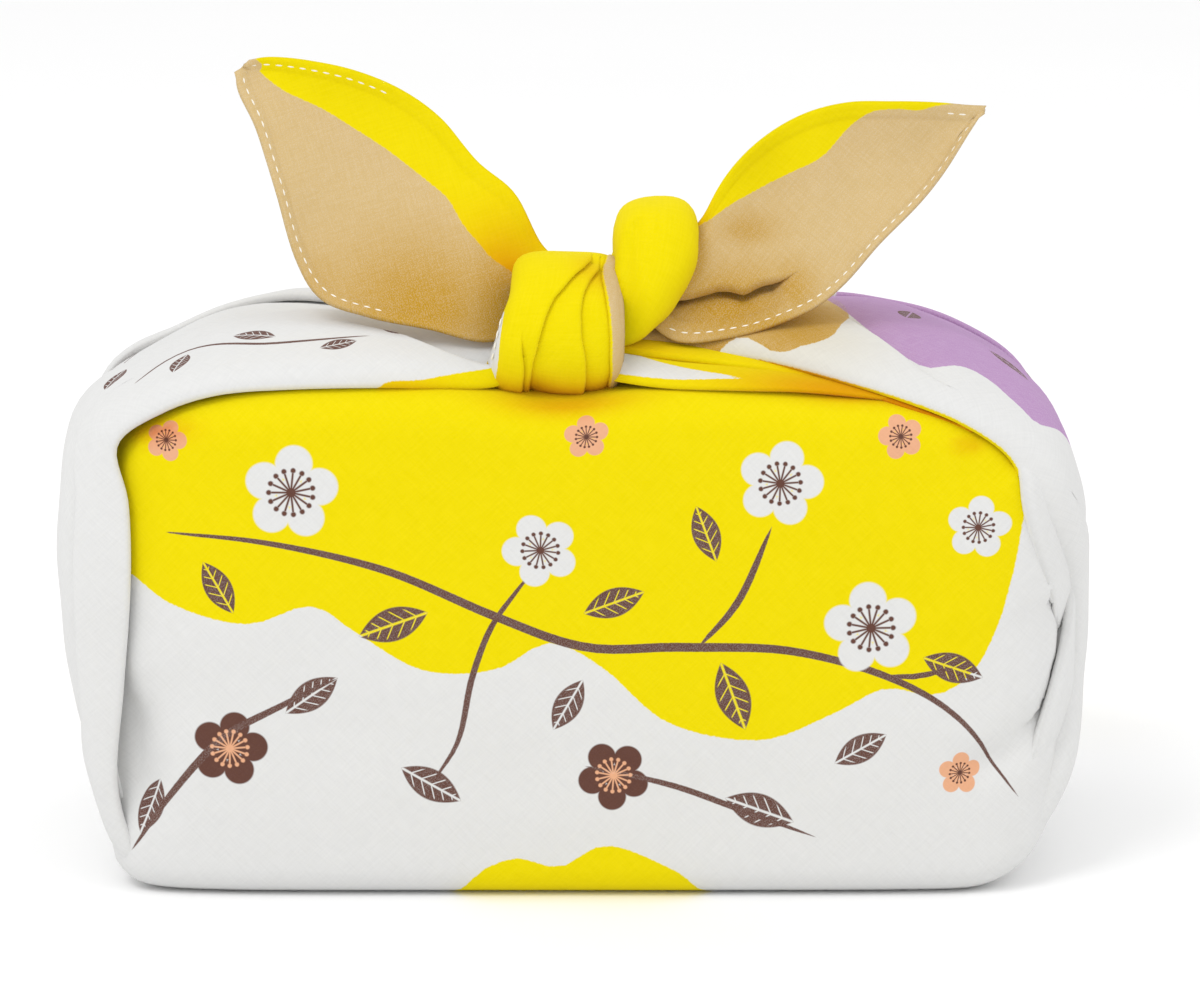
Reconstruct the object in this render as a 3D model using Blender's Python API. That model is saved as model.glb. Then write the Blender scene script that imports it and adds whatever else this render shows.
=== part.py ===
"""Furoshiki wrap: one square cloth folded round a box-shaped hollow, its side corners gathered into two
arms and tied on top in a knot with two free ends.

Metres, +Z up, +X to the right of the front, +Y to the back. The origin is the middle of the base. All
rows below are in millimetres and give the middle of the cloth's thickness.
"""

import math

import bpy
import numpy as np

MM = 0.001
SHIFT = (0.0, 0.45, 0.0)  # sets the middle of the whole object's base on the origin

# The cloth
THICKNESS = 1.8
LAYER = 3.4  # from the middle of one layer to the middle of the next
CLOTH_COLOUR = (0.90, 0.72, 0.02, 1.0)
CLOTH_ROUGHNESS = 0.85

# The wrapped body, whose top, front and back are two layers of the same cloth
TOP_RADIUS = 12.0
BASE_RADIUS = 6.0
FACE_BULGE = 0.03  # of the half depth, at half height
CROWN = 1.5
INNER_FLAP_END = 26.0  # height of the inner flap's edge behind the front
OUTER_FLAP_END = 34.0  # height of the outer flap's folded edge on the back
LEAST_FLAP = 20.0  # how far down the back it reaches at the ends
FLAP_HALF_WIDTH = 62.0  # past this the outer flap's hemmed sides run up at 45 degrees
KNOT_DIP = 1.5  # how far the knot presses into the top
KNOT_DIP_SPREAD = 26.0
STRAIGHT_STEPS, CORNER_STEPS = 3, 3
BODY_STATIONS = 15

BODY_ROWS = (
    # x, half depth, base, top
    (-101.2, 49.8, 7.4, 93.5),
    (-99.0, 54.0, 4.0, 98.0),
    (-92.0, 58.5, 1.4, 103.0),
    (-72.0, 61.0, 0.9, 108.5),
    (-36.0, 61.5, 0.9, 111.5),
    (0.0, 61.5, 0.9, 112.0),
    (36.0, 61.5, 0.9, 112.0),
    (72.0, 61.0, 0.9, 108.5),
    (90.0, 59.5, 1.2, 103.5),
    (100.0, 55.5, 5.0, 98.0),
    (106.0, 50.0, 12.0, 93.0),
    (109.0, 44.5, 19.0, 88.0),
)

# The gathered arms. A row is one section of an arm, from the base of the end up and over to the knot:
# its front and back folds, how far it arches over the line between them, in which direction (0 is
# outwards, 90 is up), how square the arch is, and how far the cloth turns back under each fold.
ARM_STATIONS = 20
ARCH_STEPS, TUCK_STEPS, FOLD_STEPS = 10, 1, 3
ARCH_SAMPLES = 97  # points on the exact arch, before it is stepped evenly
LEFT_ARM_ROWS = (
    # front x, y, z, back x, y, z, rise, lean, square, tuck
    (-80.0, -42.0, 1.2, -80.0, 40.0, 1.2, 14.0, 0.0, 2.8, 2.0),
    (-91.0, -55.0, 2.6, -91.0, 53.0, 2.6, 12.5, 0.0, 3.0, 4.0),
    (-98.5, -61.0, 10.0, -97.0, 59.0, 10.0, 6.5, 0.0, 3.0, 7.0),
    (-102.5, -63.0, 25.0, -100.5, 62.0, 25.0, 6.5, 0.0, 3.0, 9.0),
    (-100.5, -65.0, 47.0, -99.0, 64.0, 47.0, 12.5, 0.0, 3.0, 14.0),
    (-98.0, -65.5, 70.0, -97.0, 64.0, 70.0, 18.5, 0.0, 3.0, 18.0),
    (-98.0, -64.0, 88.0, -97.0, 63.0, 88.0, 17.5, 4.0, 3.0, 18.0),
    (-99.0, -60.5, 101.5, -98.0, 60.0, 100.0, 12.5, 28.0, 2.9, 18.0),
    (-89.0, -58.5, 109.0, -89.0, 57.0, 107.0, 10.5, 50.0, 2.4, 18.0),
    (-76.0, -58.0, 113.0, -77.0, 52.0, 111.5, 10.0, 70.0, 2.2, 18.0),
    (-60.0, -57.5, 115.0, -62.0, 40.0, 115.0, 10.5, 84.0, 2.0, 18.0),
    (-43.0, -57.0, 115.5, -44.0, 20.0, 116.5, 10.0, 90.0, 1.8, 14.0),
    (-29.0, -55.5, 115.2, -29.0, 0.0, 118.0, 8.8, 90.0, 1.8, 10.0),
    (-16.0, -53.0, 115.0, -16.0, -18.0, 119.0, 7.5, 90.0, 1.8, 7.0),
    (-6.0, -49.0, 117.0, -6.0, -27.0, 120.0, 6.0, 90.0, 1.8, 5.0),
)
RIGHT_ARM_ROWS = (
    (82.0, -40.0, 1.2, 82.0, 40.0, 1.2, 14.0, 0.0, 2.8, 2.0),
    (95.0, -50.0, 3.0, 93.0, 52.0, 3.0, 13.0, 0.0, 3.0, 4.0),
    (104.0, -50.0, 12.0, 101.0, 58.0, 12.0, 8.5, 0.0, 3.0, 5.0),
    (110.0, -45.0, 27.0, 103.5, 61.0, 27.0, 7.5, 0.0, 3.0, 6.0),
    (112.0, -41.0, 45.0, 103.0, 63.0, 45.0, 6.0, 0.0, 3.0, 7.0),
    (111.5, -45.0, 61.0, 101.0, 64.0, 61.0, 6.5, 0.0, 3.0, 9.0),
    (106.0, -57.0, 77.0, 99.0, 63.5, 77.0, 10.5, 3.0, 3.0, 14.0),
    (101.0, -61.5, 89.0, 98.0, 62.0, 89.0, 12.5, 10.0, 3.0, 17.0),
    (96.5, -61.0, 99.0, 95.0, 60.0, 100.0, 15.2, 34.0, 2.8, 18.0),
    (86.0, -59.5, 106.5, 87.0, 56.0, 107.0, 12.7, 54.0, 2.4, 18.0),
    (73.0, -58.0, 111.5, 75.0, 50.0, 111.5, 11.0, 72.0, 2.1, 18.0),
    (58.0, -54.5, 115.5, 60.0, 38.0, 115.0, 9.5, 86.0, 2.0, 16.0),
    (42.0, -48.0, 118.5, 43.0, 18.0, 117.0, 8.0, 90.0, 2.0, 12.0),
    (26.0, -43.0, 119.5, 28.0, 0.0, 118.0, 7.0, 90.0, 2.0, 8.0),
    (12.0, -41.0, 120.0, 14.0, -20.0, 119.0, 6.0, 90.0, 2.0, 6.0),
    (2.0, -42.0, 120.5, 4.0, -27.0, 120.0, 5.0, 90.0, 2.0, 4.0),
)
# The lower fold of the right arm, which shows between the knot and the arm
UNDERFOLD_STATIONS = 9
UNDERFOLD_ROWS = (
    (62.0, -55.5, 112.0, 62.0, -50.0, 114.0, 0.6, 80.0, 2.0, 0.0),
    (50.0, -57.5, 113.3, 50.0, -49.0, 115.0, 1.0, 80.0, 2.0, 0.0),
    (36.0, -57.5, 113.6, 36.0, -46.5, 116.0, 1.5, 85.0, 2.0, 0.0),
    (21.0, -55.5, 114.0, 22.0, -43.0, 116.4, 2.0, 90.0, 2.0, 0.0),
    (6.0, -50.0, 116.0, 8.0, -34.0, 119.0, 3.0, 90.0, 2.0, 0.0),
)

# The knot's front band: a barrel across the tie, with shallow pleats round it
BAND_ROWS = (
    # x, half height, half depth
    (-16.8, 9.0, 11.0),
    (-15.6, 13.2, 16.0),
    (-12.5, 15.4, 18.2),
    (-4.0, 16.4, 19.2),
    (5.0, 16.2, 18.8),
    (10.0, 15.2, 17.6),
    (12.2, 13.2, 15.8),
    (13.0, 9.0, 11.0),
)
BAND_MIDDLE = (-40.5, 125.4)  # y, z
BAND_SIDES = 20
BAND_PLEATS, BAND_PLEAT_DEPTH, BAND_TWIST = 5, 0.7, 0.055
BAND_NARROWING = 0.12  # of the left half's width, at the top

# The knot's lobe: a fat roll that comes over the top behind the band and down its right side
LOBE_ROWS = (
    # x, y, z, radius
    (8.6, -19.3, 123.6, 6.9),
    (16.0, -17.0, 136.0, 8.0),
    (19.3, -25.0, 142.0, 9.2),
    (19.6, -34.0, 140.0, 9.0),
    (18.8, -40.0, 132.5, 7.6),
    (16.0, -42.5, 125.0, 5.4),
    (9.0, -41.0, 120.0, 4.0),
)
LOBE_STATIONS, LOBE_SIDES = 11, 10

# The free ends. A row is one section, from the knot to the tip: its lower edge, its upper edge and how
# far its middle falls back from the line between them.
TAIL_STATIONS, TAIL_STEPS = 13, 5
LEFT_TAIL_ROWS = (
    (-6.0, -42.0, 124.0, 0.0, -34.0, 136.0, 0.0),
    (-18.0, -46.0, 121.2, -5.0, -30.0, 142.0, -1.0),
    (-31.0, -45.0, 124.0, -12.5, -27.0, 150.5, 0.0),
    (-44.0, -42.0, 126.5, -20.0, -25.0, 158.5, 2.0),
    (-54.5, -38.0, 129.5, -28.0, -24.0, 168.0, 4.0),
    (-60.5, -34.0, 138.0, -37.0, -23.0, 174.3, 5.0),
    (-65.0, -30.0, 152.5, -48.0, -22.0, 179.0, 4.5),
    (-69.0, -26.0, 165.5, -58.0, -21.0, 181.0, 2.5),
    (-73.2, -23.0, 174.0, -66.0, -21.0, 181.6, 1.0),
    (-74.0, -21.0, 178.0, -71.0, -21.0, 181.0, 0.0),
)
RIGHT_TAIL_ROWS = (
    (16.0, -38.0, 126.0, 19.0, -30.0, 136.0, 0.0),
    (24.0, -44.0, 121.0, 29.5, -27.0, 145.0, -1.0),
    (36.0, -44.0, 122.0, 34.0, -26.0, 154.0, 4.0),
    (45.5, -41.0, 124.0, 42.0, -25.0, 163.0, 7.0),
    (54.0, -37.0, 127.0, 51.6, -24.0, 169.0, 5.0),
    (61.7, -33.0, 132.5, 62.0, -23.0, 171.8, 5.0),
    (70.0, -30.0, 141.5, 72.5, -22.0, 172.0, 4.0),
    (79.0, -26.0, 150.6, 82.5, -21.0, 171.6, 3.0),
    (87.0, -23.0, 161.0, 89.5, -21.0, 171.0, 1.0),
    (92.4, -21.0, 169.2, 93.2, -21.0, 170.8, 0.0),
)


def clear_scene():
    for item in list(bpy.data.objects):
        bpy.data.objects.remove(item, do_unlink=True)


def smooth_rows(rows, count):
    """Rows read at count even steps from a smooth curve through them."""
    rows = np.array(rows, float)
    before, after = 2 * rows[0] - rows[1], 2 * rows[-1] - rows[-2]
    held = np.vstack([before, rows, after])
    found = []
    for step in np.linspace(0, len(rows) - 1, count):
        first = min(int(step), len(rows) - 2)
        part = step - first
        a, b, c, d = held[first : first + 4]
        found.append(
            0.5 * (2 * b + (c - a) * part + (2 * a - 5 * b + 4 * c - d) * part**2
                   + (3 * b - a - 3 * c + d) * part**3)
        )
    return np.array(found)


def even_points(line, count):
    """count points at even distances along a line of points."""
    steps = np.linalg.norm(np.diff(line, axis=0), axis=1)
    along = np.concatenate([[0], np.cumsum(steps)])
    wanted = np.linspace(0, along[-1], count)
    return np.stack([np.interp(wanted, along, line[:, axis]) for axis in range(line.shape[1])], axis=1)


def grid_normals(grid):
    """The unit normals of a grid of points, from its rows towards its columns."""
    down, across = np.gradient(grid, axis=0), np.gradient(grid, axis=1)
    normals = np.cross(down, across)
    return normals / np.maximum(np.linalg.norm(normals, axis=2, keepdims=True), 1e-9)


def make_object(name, points, faces):
    mesh = bpy.data.meshes.new(name)
    mesh.from_pydata(((np.asarray(points) + SHIFT) * MM).tolist(), [], faces)
    mesh.update()
    made = bpy.data.objects.new(name, mesh)
    bpy.context.scene.collection.objects.link(made)
    return made


def is_inside_out(points, faces):
    volume = 0.0
    for face in faces:
        corners = [points[index] for index in face]
        for second, third in zip(corners[1:], corners[2:]):
            volume += float(np.dot(corners[0], np.cross(second, third)))
    return volume < 0


def closed_object(name, points, faces):
    """An object whose faces all point out."""
    points = np.asarray(points)
    if is_inside_out(points - points.mean(axis=0), faces):
        faces = [tuple(reversed(face)) for face in faces]
    return make_object(name, points, faces)


def sheet(name, grid):
    """A closed sheet of the cloth's thickness, whose middle is a grid of points."""
    normals = grid_normals(grid) * THICKNESS / 2
    rows, columns = grid.shape[:2]
    points = np.concatenate([(grid + normals).reshape(-1, 3), (grid - normals).reshape(-1, 3)])
    other = rows * columns
    faces = []
    for row in range(rows - 1):
        for column in range(columns - 1):
            corner = row * columns + column
            quad = (corner, corner + 1, corner + columns + 1, corner + columns)
            faces.append(quad)
            faces.append(tuple(other + index for index in reversed(quad)))
    rim = [column for column in range(columns)]
    rim += [row * columns + columns - 1 for row in range(1, rows)]
    rim += [(rows - 1) * columns + column for column in range(columns - 2, -1, -1)]
    rim += [row * columns for row in range(rows - 2, 0, -1)]
    for here, there in zip(rim, rim[1:] + rim[:1]):
        faces.append((there, here, other + here, other + there))
    return closed_object(name, points, faces)


def rings_solid(name, rings):
    """A closed solid through rings of points, with flat ends."""
    count = len(rings[0])
    points = np.concatenate(rings)
    faces = [tuple(range(count)), tuple(reversed(range(len(points) - count, len(points))))]
    for ring in range(len(rings) - 1):
        for side in range(count):
            here, there = ring * count + side, ring * count + (side + 1) % count
            faces.append((there, here, here + count, there + count))
    return closed_object(name, points, faces)


def rounded_line(corners):
    """A line through corners (y, z, radius), whose first and last are its ends."""
    points = []
    start = np.array(corners[0][:2])
    for index in range(1, len(corners)):
        at = np.array(corners[index][:2])
        last = index == len(corners) - 1
        radius = 0.0 if last else corners[index][2]
        way_in = (at - np.array(corners[index - 1][:2]))
        way_in /= np.linalg.norm(way_in)
        end = at - way_in * radius
        for step in range(STRAIGHT_STEPS):
            points.append(start + (end - start) * step / STRAIGHT_STEPS)
        if last:
            points.append(at)
            break
        way_out = np.array(corners[index + 1][:2]) - at
        way_out /= np.linalg.norm(way_out)
        middle = at - way_in * radius + way_out * radius
        for step in range(CORNER_STEPS):
            turn = math.pi / 2 * step / CORNER_STEPS
            points.append(middle + radius * (way_in * math.sin(turn) - way_out * math.cos(turn)))
        start = at + way_out * radius
    return np.array(points)


def body_section(station, slope):
    """The cloth's path round the body at one station, from the inner flap's edge to the outer flap's."""
    x, half_depth, base, top = station
    inner = half_depth - LAYER * math.hypot(1, slope[1])
    under = top - LAYER * math.hypot(1, slope[3])
    flap_end = OUTER_FLAP_END + max(0.0, abs(x) - FLAP_HALF_WIDTH)
    line = rounded_line((
        (-inner, base + INNER_FLAP_END, 0.0),
        (-inner, under, TOP_RADIUS - LAYER),
        (inner, under, TOP_RADIUS - LAYER),
        (inner, base, BASE_RADIUS),
        (-half_depth, base, BASE_RADIUS),
        (-half_depth, top, TOP_RADIUS),
        (half_depth, top, TOP_RADIUS),
        (half_depth, min(flap_end, top - LEAST_FLAP), 0.0),
    ))
    y, z = line[:, 0].copy(), line[:, 1].copy()
    high = z / top
    z += CROWN * high**3 * np.clip(1 - (y / half_depth) ** 2, 0, 1)
    reach = (x**2 + (y - BAND_MIDDLE[0]) ** 2) / KNOT_DIP_SPREAD**2
    z -= KNOT_DIP * high**4 * np.exp(-reach)
    y *= 1 + FACE_BULGE * np.sin(math.pi * np.clip(high, 0, 1))
    return np.stack([np.full_like(y, x), y, z], axis=1)


def build_body():
    stations = smooth_rows(BODY_ROWS, BODY_STATIONS)
    stations[:, 2] = np.maximum(stations[:, 2], THICKNESS / 2)
    slopes = np.gradient(stations, axis=0) / np.gradient(stations[:, :1], axis=0)
    return sheet("body", np.array([body_section(*pair) for pair in zip(stations, slopes)]))


def arch_line(row, count):
    """Points at even distances over an arm's arch, from its front fold to its back fold."""
    front, back = row[0:3], row[3:6]
    rise, lean, square = row[6:9]
    across = front - back
    half_width = np.linalg.norm(across) / 2
    across /= 2 * half_width
    outwards = math.copysign(1.0, front[0] + back[0])
    up = np.array([outwards * math.cos(math.radians(lean)), 0.0, math.sin(math.radians(lean))])
    up -= across * np.dot(up, across)
    up /= np.linalg.norm(up)
    turn = np.linspace(0, math.pi, ARCH_SAMPLES)
    power = 2 / square
    along = np.sign(np.cos(turn)) * np.abs(np.cos(turn)) ** power * half_width
    over = np.abs(np.sin(turn)) ** power * rise
    line = (front + back) / 2 + along[:, None] * across + over[:, None] * up
    return even_points(line, count)


def tucked_edge(edge, normals, tuck):
    """The turned-back cloth under a fold and the round of the fold, in order towards the fold's edge."""
    steps = np.linalg.norm(np.diff(edge, axis=0), axis=1)
    along = np.concatenate([[0], np.cumsum(steps)])
    found = []
    for step in range(TUCK_STEPS, -1, -1):
        reach = tuck * step / TUCK_STEPS
        point = np.array([np.interp(reach, along, edge[:, axis]) for axis in range(3)])
        normal = np.array([np.interp(reach, along, normals[:, axis]) for axis in range(3)])
        found.append(point - LAYER * normal)
    outwards = edge[0] - edge[1]
    outwards -= normals[0] * np.dot(outwards, normals[0])
    outwards /= np.linalg.norm(outwards)
    middle = edge[0] - normals[0] * LAYER / 2
    for step in range(1, FOLD_STEPS):
        turn = math.pi * step / FOLD_STEPS
        found.append(middle + LAYER / 2 * (outwards * math.sin(turn) - normals[0] * math.cos(turn)))
    return found


def folded_arm(name, rows, stations, arch_steps):
    """An arched sheet whose front and back edges are folded under, or plain where no row tucks them."""
    rows = smooth_rows(rows, stations)
    arch = np.array([arch_line(row, arch_steps + 1) for row in rows])
    normals = grid_normals(arch)
    middle = arch[:, arch_steps // 2] - (arch[:, 0] + arch[:, -1]) / 2
    if (normals[:, arch_steps // 2] * middle).sum() < 0:
        normals = -normals
    if not rows[:, 9].any():
        return sheet(name, arch)
    grid = []
    for row, line, upright in zip(rows, arch, normals):
        front = tucked_edge(line, upright, row[9])
        back = tucked_edge(line[::-1], upright[::-1], row[9])
        grid.append(np.array(front + list(line) + back[::-1]))
    return sheet(name, np.array(grid))


def build_band():
    rings = []
    for x, half_height, half_depth in BAND_ROWS:
        ring = []
        for side in range(BAND_SIDES):
            turn = 2 * math.pi * side / BAND_SIDES
            pleat = BAND_PLEAT_DEPTH * math.sin(BAND_PLEATS * (turn + BAND_TWIST * x))
            ring.append((
                x * (1 - BAND_NARROWING * (1 + math.sin(turn)) * (x < 0)),
                BAND_MIDDLE[0] + (half_depth + pleat) * math.cos(turn),
                BAND_MIDDLE[1] + (half_height + pleat) * math.sin(turn),
            ))
        rings.append(np.array(ring))
    return rings_solid("band", rings)


def build_lobe():
    rows = smooth_rows(LOBE_ROWS, LOBE_STATIONS)
    ways = np.gradient(rows[:, :3], axis=0)
    rings = []
    for row, way in zip(rows, ways):
        way /= np.linalg.norm(way)
        side = np.cross(way, (1.0, 0.0, 0.0))
        side /= np.linalg.norm(side)
        across = np.cross(way, side)
        ring = [
            row[:3] + row[3] * (side * math.cos(turn) + across * math.sin(turn))
            for turn in np.linspace(0, 2 * math.pi, LOBE_SIDES, endpoint=False)
        ]
        rings.append(np.array(ring))
    return rings_solid("lobe", rings)


def build_tail(name, rows):
    grid = []
    for row in smooth_rows(rows, TAIL_STATIONS):
        low, high, cup = row[0:3], row[3:6], row[6]
        line = []
        for step in range(TAIL_STEPS + 1):
            part = step / TAIL_STEPS
            point = low + (high - low) * part
            point[1] += cup * math.sin(math.pi * part)
            line.append(point)
        grid.append(line)
    return sheet(name, np.array(grid))


def cloth_material():
    made = bpy.data.materials.new("cotton_cloth")
    made.use_nodes = True
    shader = made.node_tree.nodes["Principled BSDF"]
    shader.inputs["Base Color"].default_value = CLOTH_COLOUR
    shader.inputs["Roughness"].default_value = CLOTH_ROUGHNESS
    shader.inputs["Metallic"].default_value = 0.0
    return made


def join_pieces(name, pieces):
    """One solid: the first piece, with the rest joined to it."""
    whole = pieces[0]
    whole.name = name
    for piece in pieces[1:]:
        piece.hide_render = True
        piece.display_type = "WIRE"
        join = whole.modifiers.new(piece.name, "BOOLEAN")
        join.operation = "UNION"
        join.solver = "MANIFOLD"
        join.object = piece
    return whole


def main():
    clear_scene()
    pieces = [
        build_body(),
        folded_arm("left_arm", LEFT_ARM_ROWS, ARM_STATIONS, ARCH_STEPS),
        folded_arm("right_arm", RIGHT_ARM_ROWS, ARM_STATIONS, ARCH_STEPS),
        folded_arm("underfold", UNDERFOLD_ROWS, UNDERFOLD_STATIONS, 4),
        build_band(),
        build_lobe(),
        build_tail("left_tail", LEFT_TAIL_ROWS),
        build_tail("right_tail", RIGHT_TAIL_ROWS),
    ]
    cloth = join_pieces("furoshiki_cloth", pieces)
    cloth.data.materials.append(cloth_material())


main()
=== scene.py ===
"""Furoshiki wrap: one square of printed cotton folded round a box-shaped hollow and tied on top.

The cloth is built as sheets whose sections are the same as the CAD solid's, at finer steps, with the
folds, pleats, hems and stitching that show. Lengths in the tables are millimetres in the object's own
frame: +Z up, +X to the right of the front, +Y to the back, the origin at the middle of the base.
"""

import logging
import math
from dataclasses import dataclass, field
from enum import Enum

import bpy
import numpy as np
from mathutils import Matrix


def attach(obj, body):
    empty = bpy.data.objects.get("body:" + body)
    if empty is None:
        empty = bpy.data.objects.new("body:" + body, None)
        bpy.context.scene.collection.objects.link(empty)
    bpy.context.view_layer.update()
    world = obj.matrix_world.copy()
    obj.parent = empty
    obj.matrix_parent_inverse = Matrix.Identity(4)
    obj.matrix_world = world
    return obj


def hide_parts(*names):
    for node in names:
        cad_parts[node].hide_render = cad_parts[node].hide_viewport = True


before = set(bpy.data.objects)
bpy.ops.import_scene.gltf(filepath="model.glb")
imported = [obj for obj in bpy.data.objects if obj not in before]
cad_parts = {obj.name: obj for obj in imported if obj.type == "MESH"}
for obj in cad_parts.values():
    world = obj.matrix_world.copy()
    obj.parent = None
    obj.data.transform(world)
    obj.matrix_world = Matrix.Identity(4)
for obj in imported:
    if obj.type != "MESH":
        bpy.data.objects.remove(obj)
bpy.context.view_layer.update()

LOG = logging.getLogger("furoshiki")

MM = 0.001
NODE = "furoshiki_cloth"
SHIFT = np.array([0.0, 0.45, 0.0])
THICKNESS = 0.9  # of the cloth in this visible model
LAYER = 2.0  # from one layer of the cloth to the next at a fold
FLAT_SIDE = 680.0  # side of the square that the cloth was cut to
FAR = 1e9
TINY = 1e-9

Point = tuple[float, float, float]
Row = tuple[float, ...]
Outlines = tuple[tuple[Row, ...], ...]
Sheet = tuple[np.ndarray, np.ndarray, np.ndarray]  # points, places in the print, places on the cloth
Seam = tuple[np.ndarray, np.ndarray]  # a line of points, and the cloth's normals there


# ------------------------------------------------------------------ lines, rows and grids


def curve(a: np.ndarray, b: np.ndarray, c: np.ndarray, d: np.ndarray, part: np.ndarray) -> np.ndarray:
    """Read a smooth curve through a, b, c and d, part of the way from b to c."""
    return 0.5 * (2 * b + (c - a) * part + (2 * a - 5 * b + 4 * c - d) * part**2
                  + (3 * b - a - 3 * c + d) * part**3)


def smooth_rows(given: tuple[Row, ...] | np.ndarray, count: int) -> np.ndarray:
    """Read rows at even steps from a smooth curve through them.

    Args:
        given: one row of numbers for each given section.
        count: how many rows to read.

    Returns:
        count rows, the first and last as given.
    """
    rows = np.array(given, float)
    held = np.vstack([2 * rows[0] - rows[1], rows, 2 * rows[-1] - rows[-2]])
    steps = np.linspace(0, len(rows) - 1, count)
    first = np.minimum(steps.astype(int), len(rows) - 2)
    return curve(*(held[first + offset] for offset in range(4)), (steps - first)[:, None])


def line_lengths(line: np.ndarray) -> np.ndarray:
    """Give the distance along a line of points from its first point to each."""
    return np.concatenate([[0.0], np.cumsum(np.linalg.norm(np.diff(line, axis=0), axis=1))])


def read_line(values: np.ndarray, lengths: np.ndarray, wanted: np.ndarray | float) -> np.ndarray:
    """Read what is known along a line at some distances.

    Args:
        values: one row for each point of the line.
        lengths: the points' distances along it.
        wanted: the distances, or one.

    Returns:
        One row for each distance.
    """
    return np.stack([np.interp(wanted, lengths, column) for column in values.T], axis=-1)


def points_at(line: np.ndarray, shares: np.ndarray) -> np.ndarray:
    """Read points at given shares, from 0 to 1, of a line's length."""
    lengths = line_lengths(line)
    return read_line(line, lengths, shares * lengths[-1])


def unit(vectors: np.ndarray) -> np.ndarray:
    """Scale vectors to length 1, leaving none undefined."""
    return vectors / np.maximum(np.linalg.norm(vectors, axis=-1, keepdims=True), TINY)


def grid_normals(grid: np.ndarray) -> np.ndarray:
    """Give the unit normals of a grid of points, from its rows towards its columns."""
    return unit(np.cross(np.gradient(grid, axis=0), np.gradient(grid, axis=1)))


def soft_step(value: np.ndarray) -> np.ndarray:
    """Rise smoothly from 0 at 0 to 1 at 1."""
    held = np.clip(value, 0.0, 1.0)
    return held * held * (3 - 2 * held)


def signed_power(value: np.ndarray, power: float) -> np.ndarray:
    """Raise to a power and keep the sign, which squares a circle's sine and cosine."""
    return np.sign(value) * np.abs(value) ** power


def turned(places: np.ndarray, degrees: float) -> np.ndarray:
    """Give flat places as they are along axes turned by some degrees.

    Args:
        places: flat places, in the last axis.
        degrees: how far the axes are turned.

    Returns:
        The places along the turned axes.
    """
    turn = math.radians(degrees)
    across, up = places[..., 0], places[..., 1]
    return np.stack([across * math.cos(turn) + up * math.sin(turn),
                     up * math.cos(turn) - across * math.sin(turn)], axis=-1)


def diagonal(out: np.ndarray, aside: np.ndarray) -> np.ndarray:
    """Turn places along and beside the cloth's diagonal into places along its sides."""
    return np.stack([out + aside, aside - out], axis=-1) / math.sqrt(2)


def nearest_on(points: np.ndarray, line: np.ndarray) -> tuple[np.ndarray, np.ndarray]:
    """Find the nearest point of a line to each point.

    Args:
        points: points, one a row.
        line: the line's points.

    Returns:
        For each point, the index of the line's nearest one and the distance to it.
    """
    gaps = np.linalg.norm(points[:, None] - line[None], axis=2)
    index = gaps.argmin(axis=1)
    return index, gaps[np.arange(len(points)), index]


def distance_inside(points: np.ndarray, outline: np.ndarray) -> np.ndarray:
    """Measure how far points lie inside a closed outline.

    Args:
        points: flat points, one a row.
        outline: the outline's corners in order.

    Returns:
        One distance for each point, negative outside.
    """
    nearest = np.full(len(points), FAR)
    inside = np.zeros(len(points), bool)
    for start, end in zip(outline, np.roll(outline, -1, axis=0)):
        way = end - start
        reach = points - start
        share = np.clip(reach @ way / max(way @ way, TINY), 0, 1)
        nearest = np.minimum(nearest, np.linalg.norm(reach - share[:, None] * way, axis=1))
        crosses = (start[1] > points[:, 1]) != (end[1] > points[:, 1])
        rise = way[1] if abs(way[1]) > TINY else TINY
        inside ^= crosses & (reach[:, 0] < reach[:, 1] * way[0] / rise)
    return np.where(inside, nearest, -nearest)


def smooth_outline(corners: tuple[Row, ...], steps: int = 8) -> np.ndarray:
    """Round a closed outline through its corners.

    Args:
        corners: flat corners in order.
        steps: points between one corner and the next.

    Returns:
        The outline's points.
    """
    held = np.array(corners, float)
    around = [np.roll(held, shift, axis=0) for shift in (1, 0, -1, -2)]
    found = [curve(*around, part) for part in np.arange(steps) / steps]
    return np.stack(found, axis=1).reshape(-1, held.shape[1])


# ------------------------------------------------------------------ creases pressed into the sheets


class CreaseKind(Enum):
    """Whether a crease is a step in the cloth or a furrow."""

    FOLD = "fold"
    GROOVE = "groove"


CREASE_STEP = 0.8  # between the points at which a crease is measured
LEAST_POINTS = 24  # of a crease


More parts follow.
